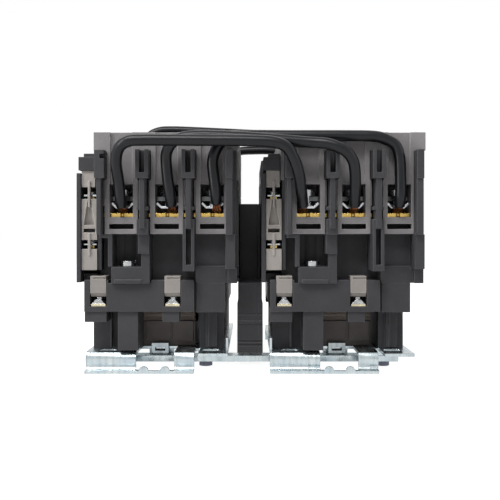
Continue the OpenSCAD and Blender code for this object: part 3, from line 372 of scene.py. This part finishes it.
def insulation(name, colour):
    """Smooth extruded insulation with faint lines along the wire and a soft bloom."""
    made = Finish(name, specular=WIRE_SPECULAR)
    bloom = made.spread(made.noise(180.0, 3.0), 0.0, 0.6, 0.45, 0.8)
    made.colour(made.blend_colours(bloom, colour, tuple(c * 1.7 + 0.002 for c in colour)))
    made.roughness(made.spread(made.noise(330.0, 3.0), 0.28, 0.38))
    made.bump(made.noise(26.0, 2.0, (6.0, 0.35, 1.0), by_uv=True), 0.05, 0.04 * MM)
    made.bump(made.noise(70.0, 1.0), 0.05, 0.2 * MM)
    return made.material


def laminated(name, colour):
    """Stacked core sheets, seen as fine bands along the contactor."""
    made = Finish(name, metallic=0.7)
    layers = made.bands(300.0, "Y")
    made.colour(made.ramp(layers, [(0.2, tuple(c * 0.7 for c in colour)), (0.8, colour)]))
    made.roughness(made.spread(made.noise(300.0), 0.35, 0.55))
    made.bump(layers, 0.25, 0.08 * MM)
    return made.material


def taped(name, colour):
    """Woven tape wound round the coil, with the rows of wire showing through as soft ribs."""
    made = Finish(name, specular=TAPE_SPECULAR)
    rows = made.bands(330.0, "Z", 0.25)
    weave = made.noise(2200.0, 2.0, (1.0, 1.0, 0.3))
    ribs = made.ramp(rows, [(0.15, tuple(c * 0.6 for c in colour)), (0.75, colour)])
    made.colour(made.blend_colours(made.spread(weave, 0.0, 0.45), ribs, tuple(c * 1.35 for c in colour)))
    made.roughness(made.spread(made.noise(500.0), 0.5, 0.7))
    made.bump(rows, 0.45, 0.15 * MM)
    made.bump(weave, 0.15, 0.04 * MM)
    return made.material


# Edges and meshes

JOIN_REACH = 0.002 * MM
SHARP_FROM = math.radians(34.0)
EDGE_SEGMENTS = 2
EDGE_SLOT = 1
EDGE_TRIES = 3
FLAT_FACE_WEIGHT = 80


def node_group(name, inputs=()):
    """A new geometry group with its sockets, or None when it is there already."""
    if name in bpy.data.node_groups:
        return None
    group = bpy.data.node_groups.new(name, "GeometryNodeTree")
    group.interface.new_socket("Geometry", in_out="INPUT", socket_type="NodeSocketGeometry")
    for label in inputs:
        group.interface.new_socket(label, in_out="INPUT", socket_type="NodeSocketVector")
    group.interface.new_socket("Geometry", in_out="OUTPUT", socket_type="NodeSocketGeometry")
    return group


def joined_faces():
    """A node group that joins a node's faces at their shared edges and lets them shade smoothly."""
    name = "joined_faces"
    group = node_group(name)
    if group is None:
        return bpy.data.node_groups[name]
    chain = [group.nodes.new("NodeGroupInput")]
    merge = group.nodes.new("GeometryNodeMergeByDistance")
    merge.inputs["Distance"].default_value = JOIN_REACH
    forget = group.nodes.new("GeometryNodeRemoveAttribute")
    forget.inputs["Name"].default_value = "custom_normal"
    faces = group.nodes.new("GeometryNodeSetShadeSmooth")
    faces.domain = "FACE"
    edges = group.nodes.new("GeometryNodeSetShadeSmooth")
    edges.domain = "EDGE"
    chain += [merge, forget, faces, edges, group.nodes.new("NodeGroupOutput")]
    for before, after in zip(chain, chain[1:]):
        group.links.new(before.outputs["Geometry"], after.inputs["Geometry"])
    return group


def kept_inside():
    """A node group that holds every point of a mesh between two corners."""
    name = "kept_inside"
    group = node_group(name, ("Low", "High"))
    if group is None:
        return bpy.data.node_groups[name]
    given = group.nodes.new("NodeGroupInput")
    place = group.nodes.new("GeometryNodeInputPosition")
    source = place.outputs["Position"]
    for corner, operation in (("Low", "MAXIMUM"), ("High", "MINIMUM")):
        hold = group.nodes.new("ShaderNodeVectorMath")
        hold.operation = operation
        group.links.new(source, hold.inputs[0])
        group.links.new(given.outputs[corner], hold.inputs[1])
        source = hold.outputs["Vector"]
    move = group.nodes.new("GeometryNodeSetPosition")
    out = group.nodes.new("NodeGroupOutput")
    group.links.new(given.outputs["Geometry"], move.inputs["Geometry"])
    group.links.new(source, move.inputs["Position"])
    group.links.new(move.outputs["Geometry"], out.inputs["Geometry"])
    return group


def hold_inside(node):
    """Holds a node's rounded edges inside the box of its plain mesh."""
    places = [v.co for v in node.data.vertices]
    corners = {"Low": [min(p[i] for p in places) for i in range(3)],
               "High": [max(p[i] for p in places) for i in range(3)]}
    hold = node.modifiers.new("inside", "NODES")
    hold.node_group = kept_inside()
    for item in hold.node_group.interface.items_tree:
        if item.name in corners:
            hold[item.identifier] = corners[item.name]


def shown_area(node):
    """The area of a node's mesh with its modifiers."""
    shown = node.evaluated_get(bpy.context.evaluated_depsgraph_get())
    mesh = shown.to_mesh()
    mesh.calc_loop_triangles()
    area = sum(triangle.area for triangle in mesh.loop_triangles)
    shown.to_mesh_clear()
    return area


def soften(node, width):
    """Rounds a node's edges with modifiers, and gives the rounding its own material slot.

    Rounding takes area away. Where the area grows the width is too large for the node's small faces,
    so it is halved, and after the last try the edges stay sharp.
    """
    join = node.modifiers.new("join", "NODES")
    join.node_group = joined_faces()
    plain = shown_area(node)
    bevel = node.modifiers.new("edges", "BEVEL")
    bevel.width = width
    bevel.segments = EDGE_SEGMENTS
    bevel.limit_method = "ANGLE"
    bevel.angle_limit = SHARP_FROM
    bevel.use_clamp_overlap = False
    bevel.loop_slide = False
    bevel.miter_outer = "MITER_SHARP"
    bevel.material = EDGE_SLOT
    hold_inside(node)
    tries = EDGE_TRIES
    while tries and shown_area(node) > plain:
        bevel.width *= 0.5
        tries -= 1
    if not tries:
        node.modifiers.remove(bevel)
    shade = node.modifiers.new("shade", "WEIGHTED_NORMAL")
    shade.keep_sharp = False
    shade.weight = FLAT_FACE_WEIGHT


def dress(names, material, edge_material=None, width=0.0):
    """Gives CAD nodes their finish and, where one is given for them, rounded edges with theirs."""
    for name in names:
        node = frame["nodes"][name]
        node.data.materials.clear()
        node.data.materials.append(material)
        if edge_material is not None:
            node.data.materials.append(edge_material)
            soften(node, width)


def both(*names):
    """The nodes of these names on the left contactor, then on the right."""
    return [f"{side}_{name}" for side in SIDES for name in names]


def mesh_piece(name, points, faces, material, body, uvs=None):
    """A new mesh that rides on a body and takes the finish that it is given."""
    mesh = bpy.data.meshes.new(name)
    mesh.from_pydata([tuple(p) for p in points], [], faces)
    mesh.update()
    for face in mesh.polygons:
        face.use_smooth = True
    if uvs is not None:
        layer = mesh.uv_layers.new(name="along")
        for loop in mesh.loops:
            layer.data[loop.index].uv = uvs[loop.vertex_index]
    mesh.materials.append(material)
    piece = bpy.data.objects.new(name, mesh)
    bpy.context.scene.collection.objects.link(piece)
    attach(piece, body)
    return piece


def smooth_line(points, steps):
    """A smooth line through the points of a route."""
    last = len(points) - 1
    line = []
    for i in range(last):
        a, b = points[max(i - 1, 0)], points[i]
        c, d = points[i + 1], points[min(i + 2, last)]
        for k in range(steps):
            t = k / steps
            line.append(0.5 * (2 * b + (c - a) * t + (2 * a - 5 * b + 4 * c - d) * t * t
                               + (3 * b - a - 3 * c + d) * t ** 3))
    return line + [points[last]]


def carried_frames(line, start):
    """A pair of cross directions at each point, carried along the line without twist."""
    found = []
    normal = start
    for i in range(len(line)):
        way = (line[min(i + 1, len(line) - 1)] - line[max(i - 1, 0)]).normalized()
        normal = (normal - way * normal.dot(way)).normalized()
        found.append((way, normal, way.cross(normal)))
    return found


def ring(centre, normal, side, radius, count):
    """Points evenly round a circle."""
    turns = [2 * math.pi * k / count for k in range(count)]
    return [centre + normal * (radius * math.cos(turn)) + side * (radius * math.sin(turn)) for turn in turns]


def bridge(faces, first, second, count):
    """Faces between two rings, given by the numbers of their first points."""
    for k in range(count):
        n = (k + 1) % count
        faces.append((first + k, first + n, second + n, second + k))


# Places in the frame, in millimetres

POLES = (-16.5, 4.85, 26.2)
HALF_PITCH = 44.0
CAGE_REACH = 56.0
BODY_REACH = 44.5
BAR_TOP = 76.2
NUT_PLATE_Z = 81.5
COIL_STRIP_TOP = 33.2

# Jumper wires: which end, left pole, right pole, and the points of the left and the right half of the
# route, each as (right of its pole, out from the cage, up from the bar), in millimetres

WIRES = {
    "near_jumper_1": (-1, 0, 0, [
        (0.5, 1, 3), (0.2, 3, 6.6), (-0.4, 4.4, 14.8), (-0.8, 8.4, 23), (1.1, 11.6, 29), (5.5, 13.6, 31.8),
        (13, 13.9, 32.4), (40.5, 13.9, 32.3), (60.5, 13.9, 32.1)], [
        (-16.5, 13.9, 31.4), (-10.6, 13.6, 28.8), (-7, 12.6, 22.6), (-5.1, 11, 16.4), (-4, 7.2, 10.6),
        (-3.2, 3.4, 6.6), (-2.7, 1, 3)]),
    "near_jumper_2": (-1, 1, 1, [
        (2.4, 1, 3.4), (2.1, 3, 7), (1.3, 3.8, 13), (0.5, 4.2, 20.6), (0.4, 5, 26.6), (2.2, 7, 30.6),
        (5.6, 8.2, 33.3), (11, 8.4, 34.7), (20, 8.4, 35), (39.15, 8.4, 34.2)], [
        (-23.85, 8.6, 32.2), (-14.5, 9.8, 31.4), (-8.6, 10.5, 29.6), (-4.4, 10.2, 27), (-1.4, 8.6, 22.6),
        (-0.3, 6, 15.8), (-0.1, 3.6, 9.3), (0.1, 1, 3)]),
    "near_jumper_3": (-1, 2, 2, [
        (2.2, 1, 4.6), (1.9, 3, 8.2), (1.2, 3.4, 14.8), (0.4, 3.2, 23.8), (2.4, 3, 30), (6, 2.9, 34.2),
        (12, 2.9, 35.8)], [
        (-50.2, 2.9, 35.8), (-25.2, 2.9, 35.8), (-12, 2.9, 35.5), (-6.2, 2.9, 33.8), (-2.3, 2.9, 31),
        (-0.5, 3, 25), (-0.2, 3.2, 16), (-0.2, 3.3, 10), (-0.3, 2.9, 6.6), (-0.4, 1, 3.2)]),
    "far_jumper_1": (1, 0, 2, [
        (-0.1, 1, 4), (-0.8, 3.2, 8.3), (-1.8, 5.8, 18.8), (-3.4, 9.6, 30), (-6.9, 13.2, 41),
        (-7.1, 13.9, 48.8), (-3.8, 13.9, 54), (2.4, 13.9, 56.6), (10, 13.9, 57), (20.5, 13.9, 56.7),
        (50.5, 13.9, 55.3)], [
        (-40.2, 13.9, 53.3), (-14.2, 13.9, 51.5), (-5.2, 13.2, 47.4), (-0.8, 10.6, 39.6), (0.2, 6.2, 22),
        (0.1, 3, 8.3), (0, 1, 4)]),
    "far_jumper_2": (1, 1, 1, [
        (0, 1, 4), (-0.8, 3.2, 9), (-2.5, 4.4, 18), (-4, 4.6, 28), (-7.5, 4.6, 38), (-9, 4.6, 45),
        (-6, 4.6, 50), (0.5, 4.6, 52.2), (17, 4.6, 52.2), (44, 4.6, 51)], [
        (-16.85, 4.6, 49.6), (-6.85, 4.6, 46.2), (-1.85, 4.6, 39.8), (-0.25, 4.3, 27.8), (0.05, 3.4, 9.8),
        (0.05, 1, 4)]),
    "far_jumper_3": (1, 2, 0, [
        (0, 1, 4), (-0.2, 3, 8.3), (-0.6, 4, 17.8), (0, 4.6, 30.8), (3.6, 4.6, 38.2), (10.4, 4.6, 42),
        (19.8, 4.6, 42.8)], [
        (-13.5, 4.6, 42.6), (-6.1, 4.6, 39.8), (-1.9, 4.6, 32.8), (-0.5, 4.2, 21.8), (-0.2, 3.2, 9.3),
        (-0.1, 1, 4)]),
}


def wire_line(name, steps):
    """The smooth middle line of a jumper wire."""
    end, left_pole, right_pole, left, right = WIRES[name]
    points = []
    for side, pole, half in ((-1, left_pole, left), (1, right_pole, right)):
        x = side * HALF_PITCH + POLES[pole]
        points += [Vector((x + p[0], end * (CAGE_REACH + p[1]), BAR_TOP + p[2])) * MM for p in half]
    return smooth_line(points, steps)


def wire_piece(name, material):
    """One jumper wire: a round tube whose ends are cut square, with a rim round the strands."""
    sizes = settings().sizes
    line = wire_line(name, sizes.wire_steps)
    frames = carried_frames(line, Vector((1.0, 0.0, 0.0)))
    count = sizes.wire_sides
    outer = sizes.wire_d / 2
    inner = sizes.strand_bundle_d / 2 + 0.12 * MM
    rim = 0.3 * MM
    socket = 1.6
    uv_unit = 10 * MM
    points, faces, uvs = [], [], []
    run = 0.0

    def add(centre, across, radius, along):
        _, normal, side = across
        points.extend(ring(centre, normal, side, radius, count))
        uvs.extend((k / count, along) for k in range(count))
        return len(points) - count

    first_way, last_way = frames[0][0], frames[-1][0]
    starts = [add(line[0] + first_way * socket * MM, frames[0], inner, 0.0),
              add(line[0], frames[0], inner, 0.0),
              add(line[0], frames[0], outer - rim, 0.0)]
    for i, centre in enumerate(line):
        shift = rim * first_way if i == 0 else -rim * last_way if i == len(line) - 1 else Vector()
        run += (line[i] - line[i - 1]).length if i else 0.0
        starts.append(add(centre + shift, frames[i], outer, run / uv_unit))
    starts += [add(line[-1], frames[-1], outer - rim, run / uv_unit),
               add(line[-1], frames[-1], inner, run / uv_unit),
               add(line[-1] - last_way * socket * MM, frames[-1], inner, run / uv_unit)]
    for first, second in zip(starts, starts[1:]):
        bridge(faces, first, second, count)
    faces.append(tuple(range(starts[0] + count - 1, starts[0] - 1, -1)))
    faces.append(tuple(range(starts[-1], starts[-1] + count)))
    piece = mesh_piece(name + "_wire", points, faces, material, "frame", uvs)
    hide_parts(name)


def add_tube(points, faces, line, start, radius, sides):
    """Adds a closed round tube along a line to the points and faces of a mesh."""
    first = len(points)
    for centre, (_, normal, side) in zip(line, carried_frames(line, start)):
        points.extend(ring(centre, normal, side, radius, sides))
    last = len(points) - sides
    for ring_start in range(first, last, sides):
        bridge(faces, ring_start, ring_start + sides, sides)
    faces.append(tuple(range(first + sides - 1, first - 1, -1)))
    faces.append(tuple(range(last, last + sides)))


def coil_line(centre, radius, low, high, turns):
    """The middle line of a spring that stands on a point."""
    steps = 24
    line = []
    for k in range(turns * steps + 1):
        angle = 2 * math.pi * k / steps
        line.append(Vector((centre[0] + radius * math.cos(angle), centre[1] + radius * math.sin(angle),
                            low + (high - low) * k / (turns * steps))))
    return line


def return_spring_pair(side, material):
    """Both return springs of a contactor."""
    wire = 0.9 * MM
    turns = 5
    sides = 10
    seat_gap = 0.05 * MM
    node = f"{side}_return_springs"
    low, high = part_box(node)
    outer = (high[0] - low[0]) / 2
    middle_x = (high[0] + low[0]) / 2
    points, faces = [], []
    for y in (low[1] + outer, high[1] - outer):
        line = coil_line((middle_x, y), outer - wire / 2, low[2] + wire / 2 + seat_gap,
                         high[2] - wire / 2 - seat_gap, turns)
        add_tube(points, faces, line, Vector((1.0, 0.0, 0.0)), wire / 2, sides)
    piece = mesh_piece(f"{side}_return_coils", points, faces, material, "frame")
    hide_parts(node)
    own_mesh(piece)


def strand_places(gauge):
    """Middle, inner and outer strands of a bundle of nineteen, as (radius, angle)."""
    outer_ring, outer_turn = 1.95, 8
    inner = [(gauge, math.radians(60 * k)) for k in range(6)]
    outer = [(gauge * outer_ring, math.radians(30 * k + outer_turn)) for k in range(12)]
    return [(0.0, 0.0)] + inner + outer


def bare_bundle(points, faces, start, way, end, draw):
    """Twisted strands from the cut end of the insulation, pressed flat on the terminal bar."""
    bundle = settings().sizes.strand_bundle_d
    gauge = bundle / 5
    sides = 7
    strand_radius = gauge * 0.48
    lay, pressed_from = 1.6, 0.8
    flat_wide, flat_high = 1.6, 0.55
    tucked, free = 1.4, 0.6
    height = BAR_TOP * MM + flat_high * bundle / 2 + 0.06 * MM
    route = [start - way * tucked * MM, start + way * free * MM,
             Vector((start.x, end * (CAGE_REACH - 1.2) * MM, height + 0.5 * MM)),
             Vector((start.x, end * (CAGE_REACH - 3.0) * MM, height)),
             Vector((start.x, end * (BODY_REACH + 0.9) * MM, height))]
    steps = 6
    line = smooth_line(route, steps)
    frames = carried_frames(line, Vector((1.0, 0.0, 0.0)))
    for radius, angle in strand_places(gauge):
        loose = draw.uniform(-0.3, 0.3)
        spread = draw.uniform(0.88, 1.0)
        twist = lay + loose
        before = None
        first = len(points)
        for i, centre in enumerate(line):
            _, normal, side = frames[i]
            pressed = min(1.0, max(0.0, i / steps - pressed_from))
            wide = 1.0 + (flat_wide - 1.0) * pressed
            high = 1.0 + (flat_high - 1.0) * pressed
            turn = angle + twist * i / len(line)
            middle = (centre + normal * (radius * spread * wide * math.cos(turn))
                      + side * (radius * spread * high * math.sin(turn)))
            middle.z = max(middle.z, (BAR_TOP + 0.05) * MM + gauge / 2)
            points.extend(ring(middle, normal, side, strand_radius, sides))
            now = len(points) - sides
            if before is not None:
                bridge(faces, before, now, sides)
            before = now
        faces.append(tuple(range(first + sides - 1, first - 1, -1)))
        faces.append(tuple(range(before, before + sides)))


# Operators

class PairOperator:
    """What the operators of the contactor pair share."""

    bl_options = {"REGISTER", "UNDO"}


class PAIR_OT_mouldings(PairOperator, bpy.types.Operator):
    """Finish the black mouldings of both contactors"""

    bl_idname = "pair.mouldings"
    bl_label = "Black mouldings"

    def execute(self, context):
        pair = settings()
        colour = tuple(pair.colours.black_moulding)
        face = moulded("black_moulding", colour)
        edge = edge_highlight("black_moulding_edge", colour)
        names = both("base_housing", "contact_housing", "front_plate", "aux_block", "carrier", "aux_plunger")
        dress(names, face, edge, pair.sizes.moulding_edge)
        return {"FINISHED"}


class PAIR_OT_arc_covers(PairOperator, bpy.types.Operator):
    """Finish the grey arc covers with their terminal cages"""

    bl_idname = "pair.arc_covers"
    bl_label = "Arc covers"

    def execute(self, context):
        pair = settings()
        colour = tuple(pair.colours.grey_cover)
        face = moulded("grey_moulding", colour, (0.46, 0.62), 0.18)
        edge = edge_highlight("grey_moulding_edge", colour)
        dress(both("arc_cover"), face, edge, pair.sizes.moulding_edge)
        return {"FINISHED"}


class PAIR_OT_small_terminals(PairOperator, bpy.types.Operator):
    """Finish the pale auxiliary terminals and coil terminal hoods"""

    bl_idname = "pair.small_terminals"
    bl_label = "Small terminals"

    def execute(self, context):
        pair = settings()
        pale = tuple(pair.colours.pale_moulding)
        for name, shade in (("aux_terminals", 1.0), ("coil_terminals", HOOD_SHADE)):
            colour = tuple(c * shade for c in pale)
            dress([name], moulded(name + "_moulding", colour, (0.42, 0.58), 0.16),
                  edge_highlight(name + "_edge", colour), pair.sizes.moulding_edge * 0.8)
        return {"FINISHED"}


class PAIR_OT_magnets(PairOperator, bpy.types.Operator):
    """Finish the cores, armatures, bobbins and windings"""

    bl_idname = "pair.magnets"
    bl_label = "Magnets and coils"

    def execute(self, context):
        pair = settings()
        brown = tuple(pair.colours.brown_bobbin)
        dress(both("fixed_core", "armature"), laminated("core_sheets", tuple(pair.colours.core_iron)),
              turned_metal("core_edge", tuple(pair.colours.core_iron), (0.3, 0.5)), pair.sizes.metal_edge)
        dress(both("coil_bobbin"), moulded("brown_moulding", brown, (0.34, 0.5), 0.1),
              edge_highlight("brown_moulding_edge", brown), pair.sizes.moulding_edge)
        dress(both("coil_winding"), taped("winding_tape", tuple(pair.colours.winding_tape)))
        return {"FINISHED"}


class PAIR_OT_contacts(PairOperator, bpy.types.Operator):
    """Finish the brass bars, bridges and auxiliary contacts"""

    bl_idname = "pair.contacts"
    bl_label = "Contacts"

    def execute(self, context):
        pair = settings()
        brass = tuple(pair.colours.brass)
        face = turned_metal("stamped_brass", brass, (0.2, 0.38), 0.3, 700.0)
        edge = turned_metal("stamped_brass_edge", tuple(min(1.0, c * 1.12) for c in brass), (0.14, 0.26), 0.1)
        names = both("fixed_contacts", "contact_bridges", "aux_bridge") + ["aux_contacts"]
        dress(names, face, edge, pair.sizes.metal_edge)
        return {"FINISHED"}


class PAIR_OT_fasteners(PairOperator, bpy.types.Operator):
    """Finish the screws and clamps"""

    bl_idname = "pair.fasteners"
    bl_label = "Screws and clamps"

    def execute(self, context):
        pair = settings()
        steel = tuple(pair.colours.steel)
        face = turned_metal("bright_steel", steel, (0.16, 0.32), 0.3)
        edge = turned_metal("bright_steel_edge", tuple(min(1.0, c * 1.1) for c in steel), (0.12, 0.2), 0.1)
        dress(["terminal_screws", "aux_screws", "housing_screws"], face, edge, pair.sizes.metal_edge)
        # Painted shade: the clamps are darkened above the nut plate height and drawn paler below it.
        dark = tuple(c * NUT_PLATE_PAINTED_SHADE for c in steel)
        clamp = two_metals("clamp_steel_painted_shade", tuple(c * CLAMP_SHADE for c in steel), dark, NUT_PLATE_Z * MM)
        dress(["terminal_clamps"], clamp, clamp, pair.sizes.metal_edge)
        washer = two_metals("washer_steel", WASHER_CREAM, steel, COIL_STRIP_TOP * MM)
        dress(["coil_terminal_screws"], washer, washer, pair.sizes.metal_edge)
        black_zinc = turned_metal("black_zinc", BLACK_ZINC, (0.3, 0.45), 0.3)
        dress(["link_screws"], black_zinc, black_zinc, pair.sizes.metal_edge)
        return {"FINISHED"}


class PAIR_OT_springs(PairOperator, bpy.types.Operator):
    """Finish the contact springs and wind the return springs"""

    bl_idname = "pair.springs"
    bl_label = "Springs"

    def execute(self, context):
        material = turned_metal("spring_wire", tuple(settings().colours.steel), (0.2, 0.36), 0.4)
        dress(both("contact_springs"), material)
        for side in SIDES:
            return_spring_pair(side, material)
        return {"FINISHED"}


class PAIR_OT_sheet_metal(PairOperator, bpy.types.Operator):
    """Finish the zinc-plated mounting plates, rail latches and link bar"""

    bl_idname = "pair.sheet_metal"
    bl_label = "Sheet metal"

    def execute(self, context):
        pair = settings()
        zinc = tuple(pair.colours.zinc)
        face = zinc_finish("zinc_plating", zinc)
        edge = turned_metal("zinc_cut_edge", tuple(c * CUT_EDGE_SHADE for c in zinc), (0.34, 0.48), 0.3)
        dress(both("mount_plate") + ["link_bar"], face, edge, pair.sizes.metal_edge)
        latch = zinc_finish("latch_plating", tuple(c * LATCH_SHADE for c in zinc))
        dress(both("rail_latch"), latch, edge, pair.sizes.metal_edge)
        return {"FINISHED"}


class PAIR_OT_interlock(PairOperator, bpy.types.Operator):
    """Finish the interlock between the contactors"""

    bl_idname = "pair.interlock"
    bl_label = "Interlock"

    def execute(self, context):
        pair = settings()
        colour = tuple(c * INTERLOCK_SHADE for c in pair.colours.black_moulding)
        brown = tuple(pair.colours.brown_bobbin)
        dress(["interlock_body", "interlock_cover"], moulded("interlock_moulding", colour, (0.34, 0.5), 0.08),
              edge_highlight("interlock_moulding_edge", colour), pair.sizes.moulding_edge)
        dress(["interlock_left_slider", "interlock_right_slider", "interlock_rocker"],
              moulded("lever_moulding", brown, (0.3, 0.45), 0.08),
              edge_highlight("lever_moulding_edge", brown), pair.sizes.moulding_edge)
        return {"FINISHED"}


class PAIR_OT_jumpers(PairOperator, bpy.types.Operator):
    """Lay the six jumper wires along their routes"""

    bl_idname = "pair.jumpers"
    bl_label = "Jumper wires"

    def execute(self, context):
        material = insulation("wire_insulation", tuple(settings().colours.wire_black))
        for name in WIRES:
            wire_piece(name, material)
        return {"FINISHED"}


class PAIR_OT_bare_ends(PairOperator, bpy.types.Operator):
    """Build the stripped strands at the ends of the jumper wires"""

    bl_idname = "pair.bare_ends"
    bl_label = "Bare strands"

    def execute(self, context):
        draw = random.Random(19)
        points, faces = [], []
        for name, (end, *_) in WIRES.items():
            line = wire_line(name, 3)
            bare_bundle(points, faces, line[0], (line[0] - line[1]).normalized(), end, draw)
            bare_bundle(points, faces, line[-1], (line[-1] - line[-2]).normalized(), end, draw)
        copper = tuple(settings().colours.copper)
        material = turned_metal("copper_strands", copper, (0.24, 0.42), 0.45, 1200.0)
        piece = mesh_piece("bare_strands", points, faces, material, "frame")
        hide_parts("bare_conductors")
        return {"FINISHED"}


SHADOW_DEPTH = 0.5
PAPER_WHITE = 1.01


def show_by_sight(tree, lighting, seen, out):
    """One shader for the light that a surface gives, and another for what the camera and mirrors see."""
    path = tree.nodes.new("ShaderNodeLightPath")
    sight = path.outputs["Is Camera Ray"]
    for kind in ("Is Glossy Ray", "Is Transmission Ray"):
        larger = tree.nodes.new("ShaderNodeMath")
        larger.operation = "MAXIMUM"
        tree.links.new(sight, larger.inputs[0])
        tree.links.new(path.outputs[kind], larger.inputs[1])
        sight = larger.outputs[0]
    mix = tree.nodes.new("ShaderNodeMixShader")
    tree.links.new(sight, mix.inputs["Fac"])
    tree.links.new(lighting.outputs[0], mix.inputs[1])
    tree.links.new(seen.outputs[0], mix.inputs[2])
    tree.links.new(mix.outputs[0], out.inputs["Surface"])


def lit_backdrop(tree, floor_colour, room_light):
    """A floor shader that the camera sees as white paper with a soft shadow."""
    nodes = tree.nodes
    nodes.clear()
    out = nodes.new("ShaderNodeOutputMaterial")
    plain = nodes.new("ShaderNodeBsdfDiffuse")
    plain.inputs["Color"].default_value = (*floor_colour, 1.0)
    shadow = nodes.new("ShaderNodeBsdfDiffuse")
    shadow.inputs["Color"].default_value = (SHADOW_DEPTH, SHADOW_DEPTH, SHADOW_DEPTH, 1.0)
    glow = nodes.new("ShaderNodeEmission")
    glow.inputs["Strength"].default_value = PAPER_WHITE - SHADOW_DEPTH * room_light
    paper = nodes.new("ShaderNodeAddShader")
    tree.links.new(shadow.outputs[0], paper.inputs[0])
    tree.links.new(glow.outputs[0], paper.inputs[1])
    show_by_sight(tree, plain, paper, out)


class PAIR_OT_studio(PairOperator, bpy.types.Operator):
    """Set up the camera, floor, lights and room"""

    bl_idname = "pair.studio"
    bl_label = "Studio"

    def execute(self, context):
        scene = context.scene
        pair = settings()
        studio = pair.studio
        scene.view_settings.view_transform = "Standard"
        self.camera(scene, studio)
        self.floor(scene, tuple(pair.colours.floor), studio.room_light)
        self.lights(scene, studio)
        self.room(scene, studio)
        return {"FINISHED"}

    def camera(self, scene, studio):
        lens = bpy.data.cameras.new("front_camera")
        lens.lens = studio.lens
        lens.sensor_width = 36.0
        lens.sensor_fit = "HORIZONTAL"
        lens.shift_y = studio.lens_shift
        lens.clip_start = 0.01
        lens.dof.use_dof = False
        camera = bpy.data.objects.new("front_camera", lens)
        camera.location = (0.0, -studio.camera_distance, studio.camera_height)
        camera.rotation_euler = (math.radians(90.0), 0.0, 0.0)
        scene.collection.objects.link(camera)
        scene.camera = camera

    def floor(self, scene, colour, room_light):
        reach = 6.0
        mesh = bpy.data.meshes.new("floor")
        mesh.from_pydata([(-reach, -reach, 0), (reach, -reach, 0), (reach, reach, 0), (-reach, reach, 0)],
                         [], [(0, 1, 2, 3)])
        material = bpy.data.materials.new("pale_floor")
        material.use_nodes = True
        lit_backdrop(material.node_tree, colour, room_light)
        mesh.materials.append(material)
        floor = bpy.data.objects.new("floor", mesh)
        scene.collection.objects.link(floor)

    def lights(self, scene, studio):
        """Area lights aimed at the pair: name, place, width and height, power."""
        middle = Vector((0.0, 0.0, 0.06))
        lamps = [("key_light", (-0.35, -0.62, 1.0), (0.95, 0.28), studio.key_power),
                 ("left_light", (-0.95, -0.55, 0.38), (0.13, 0.75), studio.left_power),
                 ("right_light", (0.95, -0.45, 0.35), (0.7, 0.7), studio.fill_power),
                 ("back_light", (0.1, 0.9, 0.7), (0.9, 0.9), studio.fill_power)]
        for name, place, (wide, high), power in lamps:
            lamp = bpy.data.lights.new(name, "AREA")
            lamp.shape = "RECTANGLE"
            lamp.size = wide
            lamp.size_y = high
            lamp.energy = power
            light = bpy.data.objects.new(name, lamp)
            light.location = place
            light.rotation_euler = (middle - Vector(place)).to_track_quat("-Z", "Y").to_euler()
            scene.collection.objects.link(light)

    def room(self, scene, studio):
        world = bpy.data.worlds.new("white_room")
        scene.world = world
        world.use_nodes = True
        tree = world.node_tree
        tree.nodes.clear()
        out = tree.nodes.new("ShaderNodeOutputWorld")
        lamp = tree.nodes.new("ShaderNodeBackground")
        lamp.inputs["Strength"].default_value = studio.room_light
        white = tree.nodes.new("ShaderNodeBackground")
        for light in (lamp, white):
            light.inputs["Color"].default_value = (1.0, 1.0, 1.0, 1.0)
        show_by_sight(tree, lamp, white, out)


OPERATORS = (PAIR_OT_studio, PAIR_OT_mouldings, PAIR_OT_arc_covers, PAIR_OT_small_terminals, PAIR_OT_magnets,
             PAIR_OT_contacts, PAIR_OT_fasteners, PAIR_OT_springs, PAIR_OT_sheet_metal, PAIR_OT_interlock,
             PAIR_OT_jumpers, PAIR_OT_bare_ends)


class PAIR_PT_panel(bpy.types.Panel):
    """Lists the steps that dress the contactor pair"""

    bl_idname = "PAIR_PT_panel"
    bl_label = "Contactor pair"
    bl_space_type = "VIEW_3D"
    bl_region_type = "UI"
    bl_category = "Contactor Pair"

    def draw(self, context):
        for operator in OPERATORS:
            self.layout.operator(operator.bl_idname)


CLASSES = (PairColours, PairSizes, PairStudio, PairSettings) + OPERATORS + (PAIR_PT_panel,)


def register():
    for each in CLASSES:
        bpy.utils.register_class(each)
    bpy.types.Scene.contactor_pair = PointerProperty(type=PairSettings)


def unregister():
    del bpy.types.Scene.contactor_pair
    for each in reversed(CLASSES):
        bpy.utils.unregister_class(each)


def main():
    register()
    for operator in OPERATORS:
        group, name = operator.bl_idname.split(".")
        getattr(getattr(bpy.ops, group), name)()
    bpy.context.view_layer.update()


if __name__ == "__main__":
    main()
